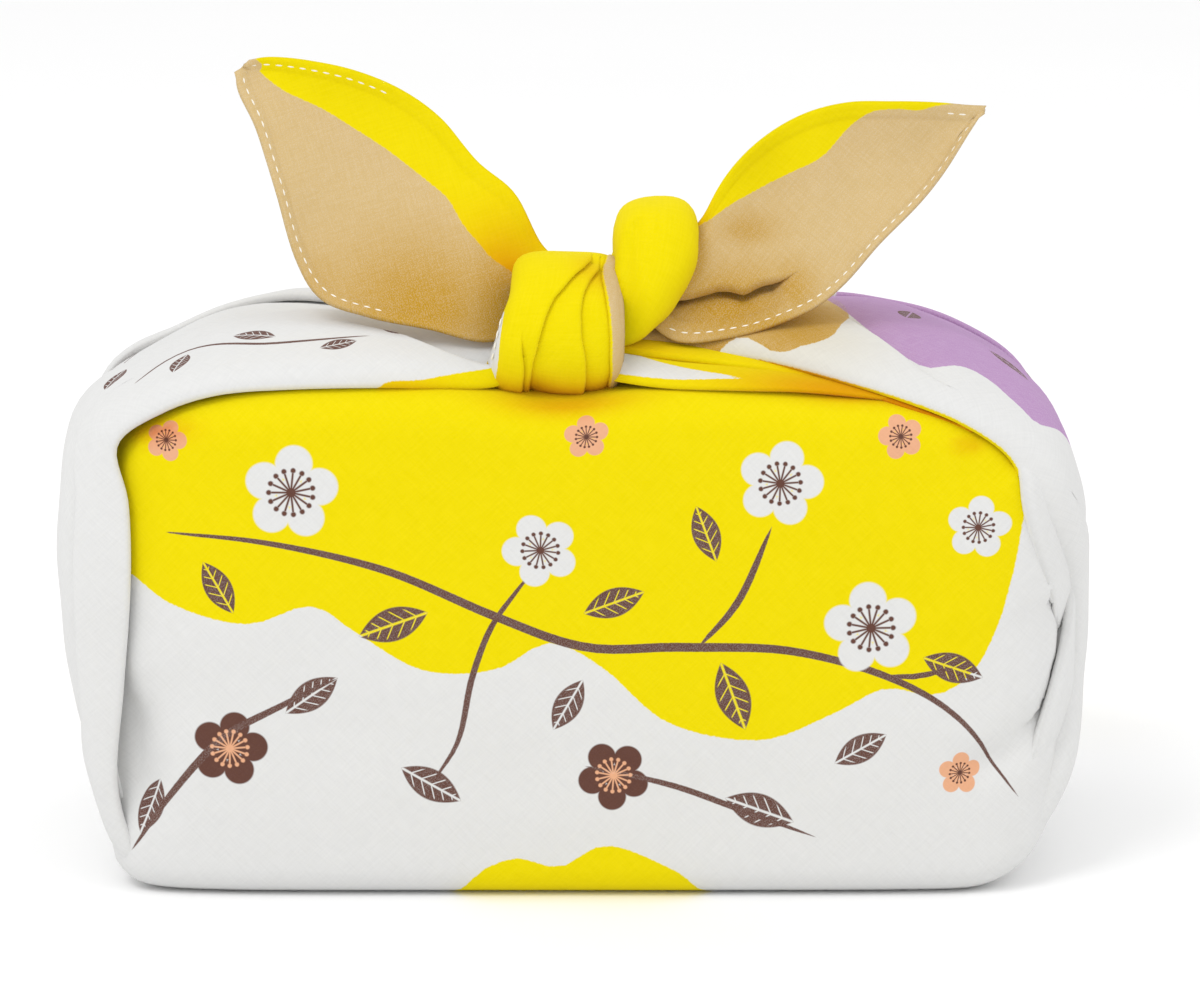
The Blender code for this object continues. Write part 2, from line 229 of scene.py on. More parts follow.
@dataclass(frozen=True)
class Crease:
    """A fold line in the cloth, as points in the object's frame.

    A fold lifts the cloth on the right of its line, seen from outside along the line, and lets it fall
    back over its reach; a groove is the same on both sides.
    """

    points: tuple[Point, ...]
    height: float
    reach: float
    kind: CreaseKind = CreaseKind.FOLD
    edge: float = 1.2
    overhang: float = 0.0
    undercut: float = 0.35  # of its height, just before its edge
    taper: float = 0.25

    def offsets(self, grid: np.ndarray, normals: np.ndarray) -> np.ndarray:
        """Work out how the crease moves the points of a sheet.

        Args:
            grid: the sheet's points.
            normals: the unit normals outwards, one for each point.

        Returns:
            One move for each point.
        """
        line = smooth_rows(self.points, 14 * len(self.points))
        count = max(LEAST_POINTS, int(line_lengths(line)[-1] / CREASE_STEP))
        line = points_at(line, np.linspace(0, 1, count))
        ways = unit(np.gradient(line, axis=0))
        share = np.linspace(0, 1, len(line))
        flat, upright = grid.reshape(-1, 3), normals.reshape(-1, 3)
        moves = np.zeros_like(flat)
        span = 3.2 * self.reach + 2 * self.edge
        low, high = line.min(axis=0) - span, line.max(axis=0) + span
        near = np.flatnonzero(((flat > low) & (flat < high)).all(axis=1))
        index, gap = nearest_on(flat[near], line)
        near, index = near[gap < span], index[gap < span]
        side = unit(np.cross(ways[index], upright[near]))
        aside = ((flat[near] - line[index]) * side).sum(axis=1)
        strength = (soft_step(share / self.taper) * soft_step((1 - share) / self.taper))[index]
        if self.kind is CreaseKind.FOLD:
            rise = soft_step(aside / self.edge + 0.5) * np.exp(-np.maximum(aside, 0) / self.reach)
            profile = rise - self.undercut * np.exp(-((aside + self.edge) / self.edge) ** 2)
        else:
            profile = -np.exp(-((aside / self.reach) ** 2))
        lean = np.exp(-((aside / self.edge) ** 2)) * self.overhang
        moves[near] = (upright[near] * (profile * strength * self.height)[:, None]
                       - side * (lean * strength)[:, None])
        return moves.reshape(grid.shape)


PLEAT_POINTS = 9


@dataclass(frozen=True)
class Pleat:
    """A fold that runs along a gathered sheet, its upper layer lying over the lower one.

    A path point is the share of the way along the sheet, the share of the way across it, and how deep
    the fold is there, from 0 to 1. Facing +1 lays the near side over the far side, -1 the other way.
    """

    path: tuple[Point, ...]
    overlap: float = 3.0
    drop: float = 2.2
    facing: int = 1
    reach: float = 14.0

    def at(self, share: float, total: float) -> tuple[float, float]:
        """Give the fold's place across the sheet and its depth at a share of the way along.

        Args:
            share: how far along the sheet, from 0 to 1.
            total: the sheet's width there.

        Returns:
            The place in millimetres, and the depth.
        """
        path = np.array(self.path)
        place = float(np.interp(share, path[:, 0], path[:, 1])) * total
        depth = float(np.interp(share, path[:, 0], path[:, 2], left=0.0, right=0.0))
        return place, depth

    def section(self, place: float, depth: float, spread: float) -> tuple[np.ndarray, np.ndarray]:
        """Work out the fold's own points.

        Args:
            place: where it is across the sheet.
            depth: how deep it is, from 0 to 1.
            spread: how far its points reach each way where it lies flat.

        Returns:
            The points' places across the sheet and their heights.
        """
        quarter = self.drop / 4
        flat = np.linspace(-spread, spread, PLEAT_POINTS)
        turn, under = 0.9 * quarter, self.overlap
        across = np.array([-spread, -0.5 * spread, 0.0, turn, 0.0, -under, -under - turn, -under, spread])
        height = -quarter * np.array([0.0, 0.0, 0.2, 1.0, 2.0, 2.0, 3.0, 4.0, 4.0])
        if self.facing < 0:
            across, height = -across[::-1], height[::-1]
        return place + flat * (1 - depth) + across * depth, height * self.sunk(depth)

    @staticmethod
    def sunk(depth: float) -> float:
        """Give how far the lower layer has sunk: it is down before the upper one laps over it."""
        return float(soft_step(np.array(1.7 * depth)))

    def settle(self, across: np.ndarray, place: float, depth: float, spread: float) -> np.ndarray:
        """Give how far the cloth beside the fold's lower layer lies below its own height."""
        past = (across - place) * self.facing - spread
        return -self.drop * self.sunk(depth) * np.exp(-np.maximum(past, 0) / self.reach) * (past >= -1e-6)


FULL_WIDTH = 45.0  # a sheet narrower than this has its pleats' points closer together
LEAST_GAP = 1.6  # from one pleat's points to the next pleat, in spreads


def pleated_line(line: np.ndarray, normals: np.ndarray, share: float, pleats: tuple[Pleat, ...],
                 steps: tuple[int, ...], spread: float) -> tuple[np.ndarray, np.ndarray]:
    """Lay one section of a sheet in its pleats.

    Args:
        line: close points across the sheet.
        normals: the sheet's normals at them.
        share: how far along the sheet the section is.
        pleats: the pleats, in order across it.
        steps: the steps before, between and after them.
        spread: how far a pleat's points reach each way where it lies flat.

    Returns:
        The section's points, as many for every section, and the place of each across the smooth line.
    """
    lengths = line_lengths(line)
    total = lengths[-1]
    spread = spread * min(1.0, total / FULL_WIDTH)
    found = [(pleat, *pleat.at(share, total)) for pleat in pleats]
    across, heights, owners = [], [], []
    start = 0.0
    for index, (pleat, place, depth) in enumerate(found):
        place = max(place, start + LEAST_GAP * spread)
        found[index] = (pleat, place, depth)
        own_across, own_height = pleat.section(place, depth, spread)
        run = np.linspace(start, place - spread, steps[index] + 1)[1 if index else 0:-1]
        across += [run, own_across]
        heights += [np.zeros(len(run)), own_height]
        owners += [np.full(len(run), -1), np.full(len(own_across), index)]
        start = place + spread
    run = np.linspace(start, total, steps[len(found)] + 1)[1 if found else 0:]
    across = np.concatenate(across + [run])
    heights = np.concatenate(heights + [np.zeros(len(run))])
    owners = np.concatenate(owners + [np.full(len(run), -1)])
    for index, (pleat, place, depth) in enumerate(found):
        heights += np.where(owners == index, 0.0, pleat.settle(across, place, depth, spread))
    held = np.clip(across, 0.0, total)
    points, upright = (read_line(values, lengths, held) for values in (line, normals))
    return points + unit(upright) * heights[:, None], held


WAVES = 4  # of each length, each its own way
WAVE_TURNS = (0.7, 1.9, 0.63)  # the first way, and the turn to the next wave and to the next length
WAVE_PHASES = (1.3, 2.1)  # from one wave, and from one length, to the next


def ripple(points: np.ndarray, sizes: tuple[float, ...], depths: tuple[float, ...]) -> np.ndarray:
    """Give the slack cloth's slow waves at points, the same each run.

    Args:
        points: points in the object's frame.
        sizes: wave lengths.
        depths: heights, one for each wave length.

    Returns:
        One height for each point.
    """
    flat = points.reshape(-1, 3)
    total = np.zeros(len(flat))
    for order, (size, depth) in enumerate(zip(sizes, depths)):
        for wave in range(WAVES):
            angle = WAVE_TURNS[0] + WAVE_TURNS[1] * wave + WAVE_TURNS[2] * order
            way = np.array([math.cos(angle), 0.8 * math.sin(1.7 * angle), math.sin(angle)])
            phase = WAVE_PHASES[0] * wave + WAVE_PHASES[1] * order
            total += depth / 3 * np.sin(flat @ way * (2 * math.pi / size) + phase)
    return total.reshape(points.shape[:-1])


# ------------------------------------------------------------------ the print


class Ink(Enum):
    """The printed colours, with their numbers in the cloth's attributes."""

    WHITE = 0
    BROWN = 1
    PEACH = 2


class Stamp(Enum):
    """The small printed shapes, with their numbers in the cloth's attributes."""

    BLOSSOM = 0
    LEAF = 1


@dataclass(frozen=True)
class Motif:
    """One small shape of the print: its place on the flat cloth, size, turn, shape and ink."""

    across: float
    up: float
    size: float
    turn: float
    stamp: Stamp
    ink: Ink


@dataclass(frozen=True)
class Stroke:
    """One printed line of the flat cloth, thickest in the middle."""

    points: tuple[tuple[float, float], ...]
    width: float


def blossom(across: float, up: float, size: float, turn: float, ink: Ink = Ink.WHITE) -> Motif:
    """Place a five-petalled blossom."""
    return Motif(across, up, size, turn, Stamp.BLOSSOM, ink)


def leaf(across: float, up: float, size: float, turn: float) -> Motif:
    """Place a brown leaf, pointing the way it is turned."""
    return Motif(across, up, size, turn, Stamp.LEAF, Ink.BROWN)


FIELD_LIMIT = 60.0  # how far from a field's edge its distance is written
UNPRINTED = 9.0  # a place outside every motif and line
MOTIF_MARGIN = 2.8
LINE_MARGIN = 3.5


@dataclass(frozen=True)
class PrintLayout:
    """What is printed on one part of the cloth, and where shade is painted on it, in that part's flat millimetres."""

    yellow: Outlines = ()
    tan: Outlines = ()
    purple: Outlines = ()
    motifs: tuple[Motif, ...] = ()
    strokes: tuple[Stroke, ...] = ()
    twigs: tuple[Stroke, ...] = ()
    painted_shade: tuple[Row, ...] = ()  # painted shade, warmed by yellow light bounced off the cloth: across, up, half width, half height, strength

    @staticmethod
    def field(points: np.ndarray, outlines: Outlines) -> np.ndarray:
        """Measure how far points lie inside any of some outlines.

        Args:
            points: flat points.
            outlines: the outlines' corners.

        Returns:
            One distance for each point, negative outside.
        """
        best = np.full(len(points), -FIELD_LIMIT)
        for outline in outlines:
            best = np.maximum(best, distance_inside(points, smooth_outline(outline)))
        return np.minimum(best, FIELD_LIMIT)

    def stamps(self, points: np.ndarray, stamp: Stamp) -> tuple[np.ndarray, np.ndarray]:
        """Give each point its place in the nearest motif of a shape.

        Args:
            points: flat points.
            stamp: the shape.

        Returns:
            Places (across and along the motif, in its own size, and whether it is near), and inks.
        """
        places = np.zeros((len(points), 3))
        places[:, 0] = UNPRINTED
        inks = np.zeros(len(points))
        closest = np.full(len(points), FAR)
        for motif in self.motifs:
            if motif.stamp is not stamp:
                continue
            local = turned(points - (motif.across, motif.up), motif.turn) / motif.size
            if stamp is Stamp.LEAF:
                away = np.linalg.norm(np.maximum(np.abs(local) - (0.9, 0.42), 0.0), axis=1) * motif.size
            else:
                away = (np.linalg.norm(local, axis=1) - 1.0) * motif.size
            mine = away < closest
            closest[mine] = away[mine]
            places[mine, :2] = local[mine]
            places[mine, 2] = away[mine] < MOTIF_MARGIN
            inks[mine] = motif.ink.value
        return places, inks

    def painted_shade_at(self, points: np.ndarray) -> np.ndarray:
        """Give how much painted shade the cloth has at points, from 0 to 1.

        Args:
            points: flat points.

        Returns:
            One number for each point.
        """
        found = np.zeros(len(points))
        for across, up, wide, high, strength in self.painted_shade:
            away = ((points[:, 0] - across) / wide) ** 2 + ((points[:, 1] - up) / high) ** 2
            found = np.maximum(found, strength * np.exp(-away))
        return found

    @staticmethod
    def lines(points: np.ndarray, strokes: tuple[Stroke, ...]) -> np.ndarray:
        """Give each point its place beside the printed line around it.

        Args:
            points: flat points.
            strokes: the printed lines.

        Returns:
            The signed distance from the line, the line's half width there, and whether one is near.
        """
        found = np.zeros((len(points), 3))
        found[:, 0] = UNPRINTED
        closest = np.full(len(points), FAR)
        for stroke in strokes:
            line = smooth_rows(stroke.points, 16 * len(stroke.points))
            share = line_lengths(line)
            share /= share[-1]
            index, gap = nearest_on(points, line)
            mine = gap < closest
            closest[mine] = gap[mine]
            offset = points - line[index]
            way = unit(np.gradient(line, axis=0))[index]
            aside = way[:, 0] * offset[:, 1] - way[:, 1] * offset[:, 0]
            along = (offset * way).sum(axis=1)
            past = np.maximum(np.abs(along) - 1.0, 0) * ((index == 0) | (index == len(line) - 1))
            half = stroke.width / 2 * np.sqrt(np.clip(np.sin(math.pi * share[index]), 0, 1))
            found[mine] = np.stack([aside, half - past, gap < LINE_MARGIN], axis=1)[mine]
        return found


# ------------------------------------------------------------------ making a sheet's object


def deselect() -> None:
    """Leave nothing selected."""
    bpy.ops.object.select_all(action="DESELECT")


def sheet_object(name: str, grid: np.ndarray, flat: np.ndarray, inward: bool) -> bpy.types.Object:
    """Make a sheet's object from a grid primitive, with its flat cloth as the UV map.

    Args:
        name: the object's name.
        grid: the sheet's points in millimetres.
        flat: each point's place on the flat cloth, in millimetres from its middle.
        inward: whether the grid's normals point in, and so the primitive's have to be flipped.

    Returns:
        The object, its normals outwards.
    """
    rows, columns = grid.shape[:2]
    deselect()
    bpy.ops.mesh.primitive_grid_add(x_subdivisions=columns - 1, y_subdivisions=rows - 1, size=1.0)
    made = bpy.context.object
    mesh = made.data
    made.name = mesh.name = name
    spots = np.empty(len(mesh.vertices) * 3)
    mesh.vertices.foreach_get("co", spots)
    spots = spots.reshape(-1, 3)
    column = np.rint((spots[:, 0] + 0.5) * (columns - 1)).astype(int)
    row = np.rint((spots[:, 1] + 0.5) * (rows - 1)).astype(int)
    mesh.vertices.foreach_set("co", ((grid[row, column] + SHIFT) * MM).ravel())
    corners = np.empty(len(mesh.loops), int)
    mesh.loops.foreach_get("vertex_index", corners)
    places = flat[row, column][corners] / FLAT_SIDE + 0.5
    mesh.uv_layers.active.data.foreach_set("uv", places.ravel())
    numbers = mesh.attributes.new("grid_place", "INT", "POINT")
    numbers.data.foreach_set("value", row * columns + column)
    if inward:
        mesh.flip_normals()
    mesh.update()
    return made


def write_numbers(mesh: bpy.types.Mesh, name: str, values: np.ndarray) -> None:
    """Write one number for each point of a sheet as an attribute of its mesh.

    Args:
        mesh: the sheet's mesh, which has its grid places.
        name: the attribute's name.
        values: one number, or three, for each place of the grid.
    """
    places = np.empty(len(mesh.vertices), int)
    mesh.attributes["grid_place"].data.foreach_get("value", places)
    kind, field_name = ("FLOAT", "value") if values.ndim == 1 else ("FLOAT_VECTOR", "vector")
    layer = mesh.attributes.new(name, kind, "POINT")
    layer.data.foreach_set(field_name, values[places].astype(np.float32).ravel())


def joined(pieces: list[bpy.types.Object], name: str, finish: bpy.types.Material) -> bpy.types.Object:
    """Join pieces and give them one material.

    Args:
        pieces: the pieces.
        name: the joined object's name.
        finish: its material.

    Returns:
        The joined object.
    """
    deselect()
    for piece in pieces:
        piece.select_set(True)
    bpy.context.view_layer.objects.active = pieces[0]
    bpy.ops.object.join()
    whole = bpy.context.object
    whole.name = whole.data.name = name
    whole.data.materials.clear()
    whole.data.materials.append(finish)
    return whole


@dataclass
class ClothSheet:
    """One stretch of the cloth, as a grid of points with a flat place for each."""

    name: str = "sheet"
    creases: tuple[Crease, ...] = ()
    layout: PrintLayout = field(default_factory=PrintLayout)
    thickness: float = THICKNESS
    wave_sizes: tuple[float, ...] = (46.0, 21.0)
    wave_depths: tuple[float, ...] = (0.5, 0.16)
    middle: tuple[float, float] = (0.0, 55.0)  # y and z of the line that the sheet lies round
    fine_rows: int = 600  # in the close curve through its given rows
    closes: bool = False  # whether its last section is its first again

    def shape(self) -> Sheet:
        """Work out the sheet, in millimetres."""
        raise NotImplementedError

    def outside(self, grid: np.ndarray) -> np.ndarray:
        """Give the points that the sheet's outer face looks away from; here its middle line.

        Args:
            grid: the sheet's points.

        Returns:
            One point for each of the sheet's.
        """
        inner = grid.copy()
        inner[..., 1], inner[..., 2] = self.middle
        return inner

    def slack(self, grid: np.ndarray) -> np.ndarray:
        """Say how freely each point may wave, from 0 to 1."""
        return np.ones(grid.shape[:2])

    def outward_normals(self, grid: np.ndarray) -> tuple[np.ndarray, bool]:
        """Give the sheet's normals outwards.

        Args:
            grid: the sheet's points.

        Returns:
            The normals, and whether the grid's own ones point in.
        """
        normals = grid_normals(grid)
        if self.closes:
            normals[:, 0] = normals[:, -1] = unit(normals[:, 0] + normals[:, -1])
        inward = float((normals * (grid - self.outside(grid))).sum()) < 0
        return (-normals if inward else normals), inward

    def finished(self) -> tuple[Sheet, bool]:
        """Work out the sheet with its creases and waves.

        Returns:
            The sheet, and whether its grid's normals point in.
        """
        grid, printed, cloth = self.shape()
        normals, inward = self.outward_normals(grid)
        moved = grid + normals * (ripple(grid, self.wave_sizes, self.wave_depths) * self.slack(grid))[..., None]
        for crease in self.creases:
            moved = moved + crease.offsets(grid, normals)
        return (moved, printed, cloth), inward

    def build(self) -> bpy.types.Object:
        """Make the sheet's object, with its print's attributes and its thickness.

        Returns:
            The sheet's object.
        """
        (grid, printed, cloth), inward = self.finished()
        grid[..., 2] = np.maximum(grid[..., 2], self.thickness / 2)
        piece = sheet_object(self.name, grid, cloth, inward)
        flat, layout, mesh = printed.reshape(-1, 2), self.layout, piece.data
        blossoms, inks = layout.stamps(flat, Stamp.BLOSSOM)
        numbers = {f"{name}_field": layout.field(flat, getattr(layout, name)) for name in ("yellow", "tan", "purple")}
        numbers |= {
            "blossom_place": blossoms,
            "blossom_ink": inks,
            "leaf_place": layout.stamps(flat, Stamp.LEAF)[0],
            # painted shade, kept with the print's attributes
            "painted_shade": layout.painted_shade_at(flat),
            "stroke_place": layout.lines(flat, layout.strokes),
            "twig_place": layout.lines(flat, layout.twigs),
        }
        for name, values in numbers.items():
            write_numbers(mesh, name, values)
        mesh.attributes.remove(mesh.attributes["grid_place"])
        if self.closes:
            bpy.ops.object.mode_set(mode="EDIT")
            bpy.ops.mesh.select_all(action="SELECT")
            bpy.ops.mesh.remove_doubles(threshold=1e-6)
            bpy.ops.object.mode_set(mode="OBJECT")
        thick = piece.modifiers.new("thickness", "SOLIDIFY")
        thick.thickness = self.thickness * MM
        thick.offset = 0.0
        bpy.ops.object.modifier_apply(modifier=thick.name)
        bpy.ops.object.shade_smooth()
        return piece


@dataclass
class PleatedSheet(ClothSheet):
    """A stretch whose waves are pressed in before it is laid in pleats, in its own shape method."""

    def finished(self) -> tuple[Sheet, bool]:
        """Work out the sheet, and whether its grid's normals point in."""
        found = self.shape()
        return found, self.outward_normals(found[0])[1]


# ------------------------------------------------------------------ the wrapped body


BODY_ROWS = (
    # x, half depth, base, top; the first and last rows are the cloth drawn in across the ends
    (-103.4, 20, 42, 66),
    (-103.2, 32, 28, 77),
    (-102.8, 43, 14.5, 87.5),
    (-101.2, 50.4, 7.4, 94),
    (-99, 54.8, 4, 99),
    (-92, 59, 1.4, 105.2),
    (-72, 61.2, 0.9, 111.2),
    (-36, 61.5, 0.9, 113.4),
    (0, 61.5, 0.9, 113.2),
    (36, 61.5, 0.9, 112.8),
    (72, 61, 0.9, 109.6),
    (90, 59.5, 1.2, 104.6),
    (100, 55.8, 5, 98.8),
    (105.6, 50.6, 11, 93.4),
    (108.2, 45.5, 18, 88),
    (109.4, 37.5, 27, 80),
    (109.8, 28, 37, 72),
    (110, 19, 45, 65),
)


BODY_CREASES = (
    Crease(((97.6, -58.5, 97), (98.8, -57.6, 91), (99.6, -57.2, 86), (102, -55, 78), (104.2, -52.8, 70),
            (105.5, -51.2, 63)), height=2.2, reach=8, edge=1.4, overhang=1.2, taper=0.15),
    Crease(((102, -55.5, 94), (104.4, -53, 87), (107, -49.5, 76.5), (108.6, -46.5, 68)),
           height=1.5, reach=4, edge=1.3, overhang=0.6),
    Crease(((110.5, -40, 55), (108.8, -46, 50), (106.2, -50.5, 44), (103.4, -53.8, 39.5), (98.6, -57.5, 34),
            (90, -60, 29), (82, -61, 25)), height=2.4, reach=4, kind=CreaseKind.GROOVE),
    Crease(((110, -42, 54), (108.2, -47, 49), (105.8, -51, 44), (103.4, -53.8, 40.5), (100, -56.5, 36.5)),
           height=1.5, reach=5, edge=1.1, overhang=1.3),
    Crease(((-94, -60, 12), (-95.5, -59.5, 24), (-96.5, -59, 38), (-97.5, -58, 54)),
           height=4.4, reach=7.5, kind=CreaseKind.GROOVE, taper=0.4),
    Crease(((-66, -63, 28), (-80, -62, 44), (-92, -60, 52)), height=0.5, reach=6, kind=CreaseKind.GROOVE),
)


@dataclass
class WrappedBody(ClothSheet):
    """The cloth round the body: inner flap, under layer of the top, back, base, front, top and outer flap."""

    name: str = "wrapped_body"
    rows: tuple[Row, ...] = BODY_ROWS
    fine_rows: int = 2400
    columns: int = 125
    column_shares: tuple[Row, Row] = ((0.0, 0.176, 0.608, 0.944, 1.0), (0.0, 0.212, 0.764, 0.915, 1.0))
    widest: float = 61.0  # half depth
    top_radius: float = 8.5
    base_radius: float = 6.0
    radius_shares: tuple[float, ...] = (0.2, 0.3, 0.35)  # of the half depth at most: base, under layer, top
    face_bulge: float = 0.03
    crown: float = 1.5
    inner_flap_reach: float = 50.0
    outer_flap_end: float = 34.0
    least_flap: float = 20.0
    flap_half_width: float = 62.0
    seam_rise: float = 3.2  # of the stitches over the flap's slanting edge
    seam_end: float = 97.0
    knot_dip: float = 3.4
    knot_dip_spread: float = 20.0
    knot_place: tuple[float, float] = (-3.0, -54.0)
    straights: tuple[int, ...] = (4, 5, 5, 12, 6, 48, 20, 20)
    corners: tuple[int, ...] = (3, 3, 3, 4, 5, 7, 6)
    layer: float = 3.4
    lowered: float = 0.45  # of the base, so that it rests on the floor
    front_corner: int = 6  # the corner after which the front starts
    hem_reach: float = 4.0
    turn_radius: float = 0.75
    turn_steps: int = 4
    tip_steps: int = 7
    held_below: float = 30.0  # how high over the base the cloth waves freely
    held_above: float = 118.0
    held_reach: float = 20.0

    def line(self, corners: list[Row]) -> tuple[np.ndarray, int]:
        """Run a line of points through rounded corners.

        Args:
            corners: y, z and radius of each, the first and last being its ends.

        Returns:
            The points, and the index of the first on the front.
        """
        points = []
        front = 0
        start = np.array(corners[0][:2])
        for index in range(1, len(corners)):
            at = np.array(corners[index][:2])
            last = index == len(corners) - 1
            way_in = unit(at - np.array(corners[index - 1][:2]))
            radius = 0.0 if last else corners[index][2]
            end = at - way_in * radius
            steps = self.straights[index - 1]
            if index == self.front_corner:
                front = len(points)
            points += [start + (end - start) * step / steps for step in range(steps)]
            if last:
                points.append(at)
                break
            way_out = unit(np.array(corners[index + 1][:2]) - at)
            middle = at - way_in * radius + way_out * radius
            rounds = self.corners[index - 1]
            for step in range(rounds):
                turn = math.pi / 2 * step / rounds
                points.append(middle + radius * (way_in * math.sin(turn) - way_out * math.cos(turn)))
            start = at + way_out * radius
        return np.array(points), front

    def turned_under(self, line: np.ndarray, x: float) -> list[np.ndarray]:
        """Turn the outer flap's tip up inside the flap, or past the tip its narrow hem.

        Args:
            line: the points down to the flap's edge.
            x: the station.

        Returns:
            The points round the fold and up behind it.
        """
        reach = self.hem_reach + max(0.0, self.flap_half_width - abs(x))
        radius = self.turn_radius
        middle = line[-1] - (radius, 0.0)
        found = []
        for step in range(1, self.turn_steps + 1):
            turn = math.pi * step / self.turn_steps
            found.append(middle + radius * np.array([math.cos(turn), -math.sin(turn)]))
        top = found[-1]
        return found + [top + (0.0, reach * step / self.tip_steps) for step in range(1, self.tip_steps + 1)]

    def shape(self) -> Sheet:
        """Work out the body's sheet.

        Returns:
            The sheet's points, its places in the print and its places on the cloth.
        """
        fine = smooth_rows(self.rows, self.fine_rows)
        wanted = np.linspace(0, 1, self.columns)
        rows = points_at(fine, np.interp(wanted, self.column_shares[0], self.column_shares[1]))
        ways = np.gradient(rows, axis=0)
        straight = np.abs(ways[:, 0]) / np.linalg.norm(ways[:, (0, 1)], axis=1)
        drawn = np.sqrt(1 - straight**2) * np.sign(rows[:, 0])
        grid, places = [], []
        for row, cosine, sine in zip(rows, straight, drawn):
            x, half, low, high = row
            low = max(low - self.lowered, self.thickness / 2)
            inner, under, floor = half - self.layer * cosine, high - self.layer * cosine, low + self.layer * cosine
            flap = self.outer_flap_end + max(0.0, abs(x) - self.flap_half_width)
            base_limit, under_limit, top_limit = (half * share for share in self.radius_shares)
            base_radius, top_radius = min(self.base_radius, base_limit), min(self.top_radius, top_limit)
            under_radius = min(self.top_radius - self.layer, under_limit)
            line, front = self.line([
                (self.inner_flap_reach * half / self.widest, floor, 0.0),
                (-inner, floor, min(self.base_radius - 2.0, base_limit)),
                (-inner, under, under_radius),
                (inner, under, under_radius),
                (inner, low, base_radius),
                (-half, low, base_radius),
                (-half, high, top_radius),
                (half, high, top_radius),
                (half, min(flap, high - self.least_flap * min(1.0, half / 45.0)), 0.0),
            ])
            outer = np.arange(len(line)) >= front - self.corners[self.front_corner - 2]
            line = np.vstack([line, self.turned_under(line, x)])
            outer = np.concatenate([outer, np.ones(len(line) - len(outer), bool)])
            stations = np.where(outer, x, x - self.layer * sine)
            y, z = line[:, 0].copy(), line[:, 1].copy()
            lengths = line_lengths(line)
            places.append(lengths - lengths[front] + line[front, 1])
            share = z / high
            z += self.crown * share**3 * np.clip(1 - (y / half) ** 2, 0, 1)
            gap = ((x - self.knot_place[0]) ** 2 + (y - self.knot_place[1]) ** 2) / self.knot_dip_spread**2
            z -= self.knot_dip * share**4 * np.exp(-gap)
            y *= 1 + self.face_bulge * np.sin(math.pi * np.clip(share, 0, 1))
            grid.append(np.stack([stations, y, z], axis=1))
        grid = np.array(grid)
        along = np.array(places)
        printed = np.stack([grid[..., 0], along], axis=2)
        return grid, printed, diagonal(grid[..., 0], along + self.flap_half_width)

    def seam(self, side: float) -> Seam:
        """Give the line of the hem's stitches along a cut side of the outer flap.

        Args:
            side: -1.0 for the left side, 1.0 for the right.

        Returns:
            The line's points and the normals there.
        """
        grid = self.finished()[0][0]
        normals, _ = self.outward_normals(grid)
        edge = grid.shape[1] - 1 - self.turn_steps - self.tip_steps
        found = []
        for line, upright in zip(grid, normals):
            if self.flap_half_width + 1.0 < side * line[edge, 0] < self.seam_end:
                lengths = line_lengths(line[edge::-1])
                found.append([read_line(values[edge::-1], lengths, self.seam_rise) for values in (line, upright)])
        points, uprights = np.array(found).transpose(1, 0, 2)
        return points, uprights

    def slack(self, grid: np.ndarray) -> np.ndarray:
        """The base lies flat and its edges are held."""
        height = grid[..., 2]
        return soft_step(height / self.held_below) * soft_step((self.held_above - height) / self.held_reach)


# ------------------------------------------------------------------ the gathered arms


ARCH_SAMPLES = 161  # points on the exact arch, before it is laid in pleats


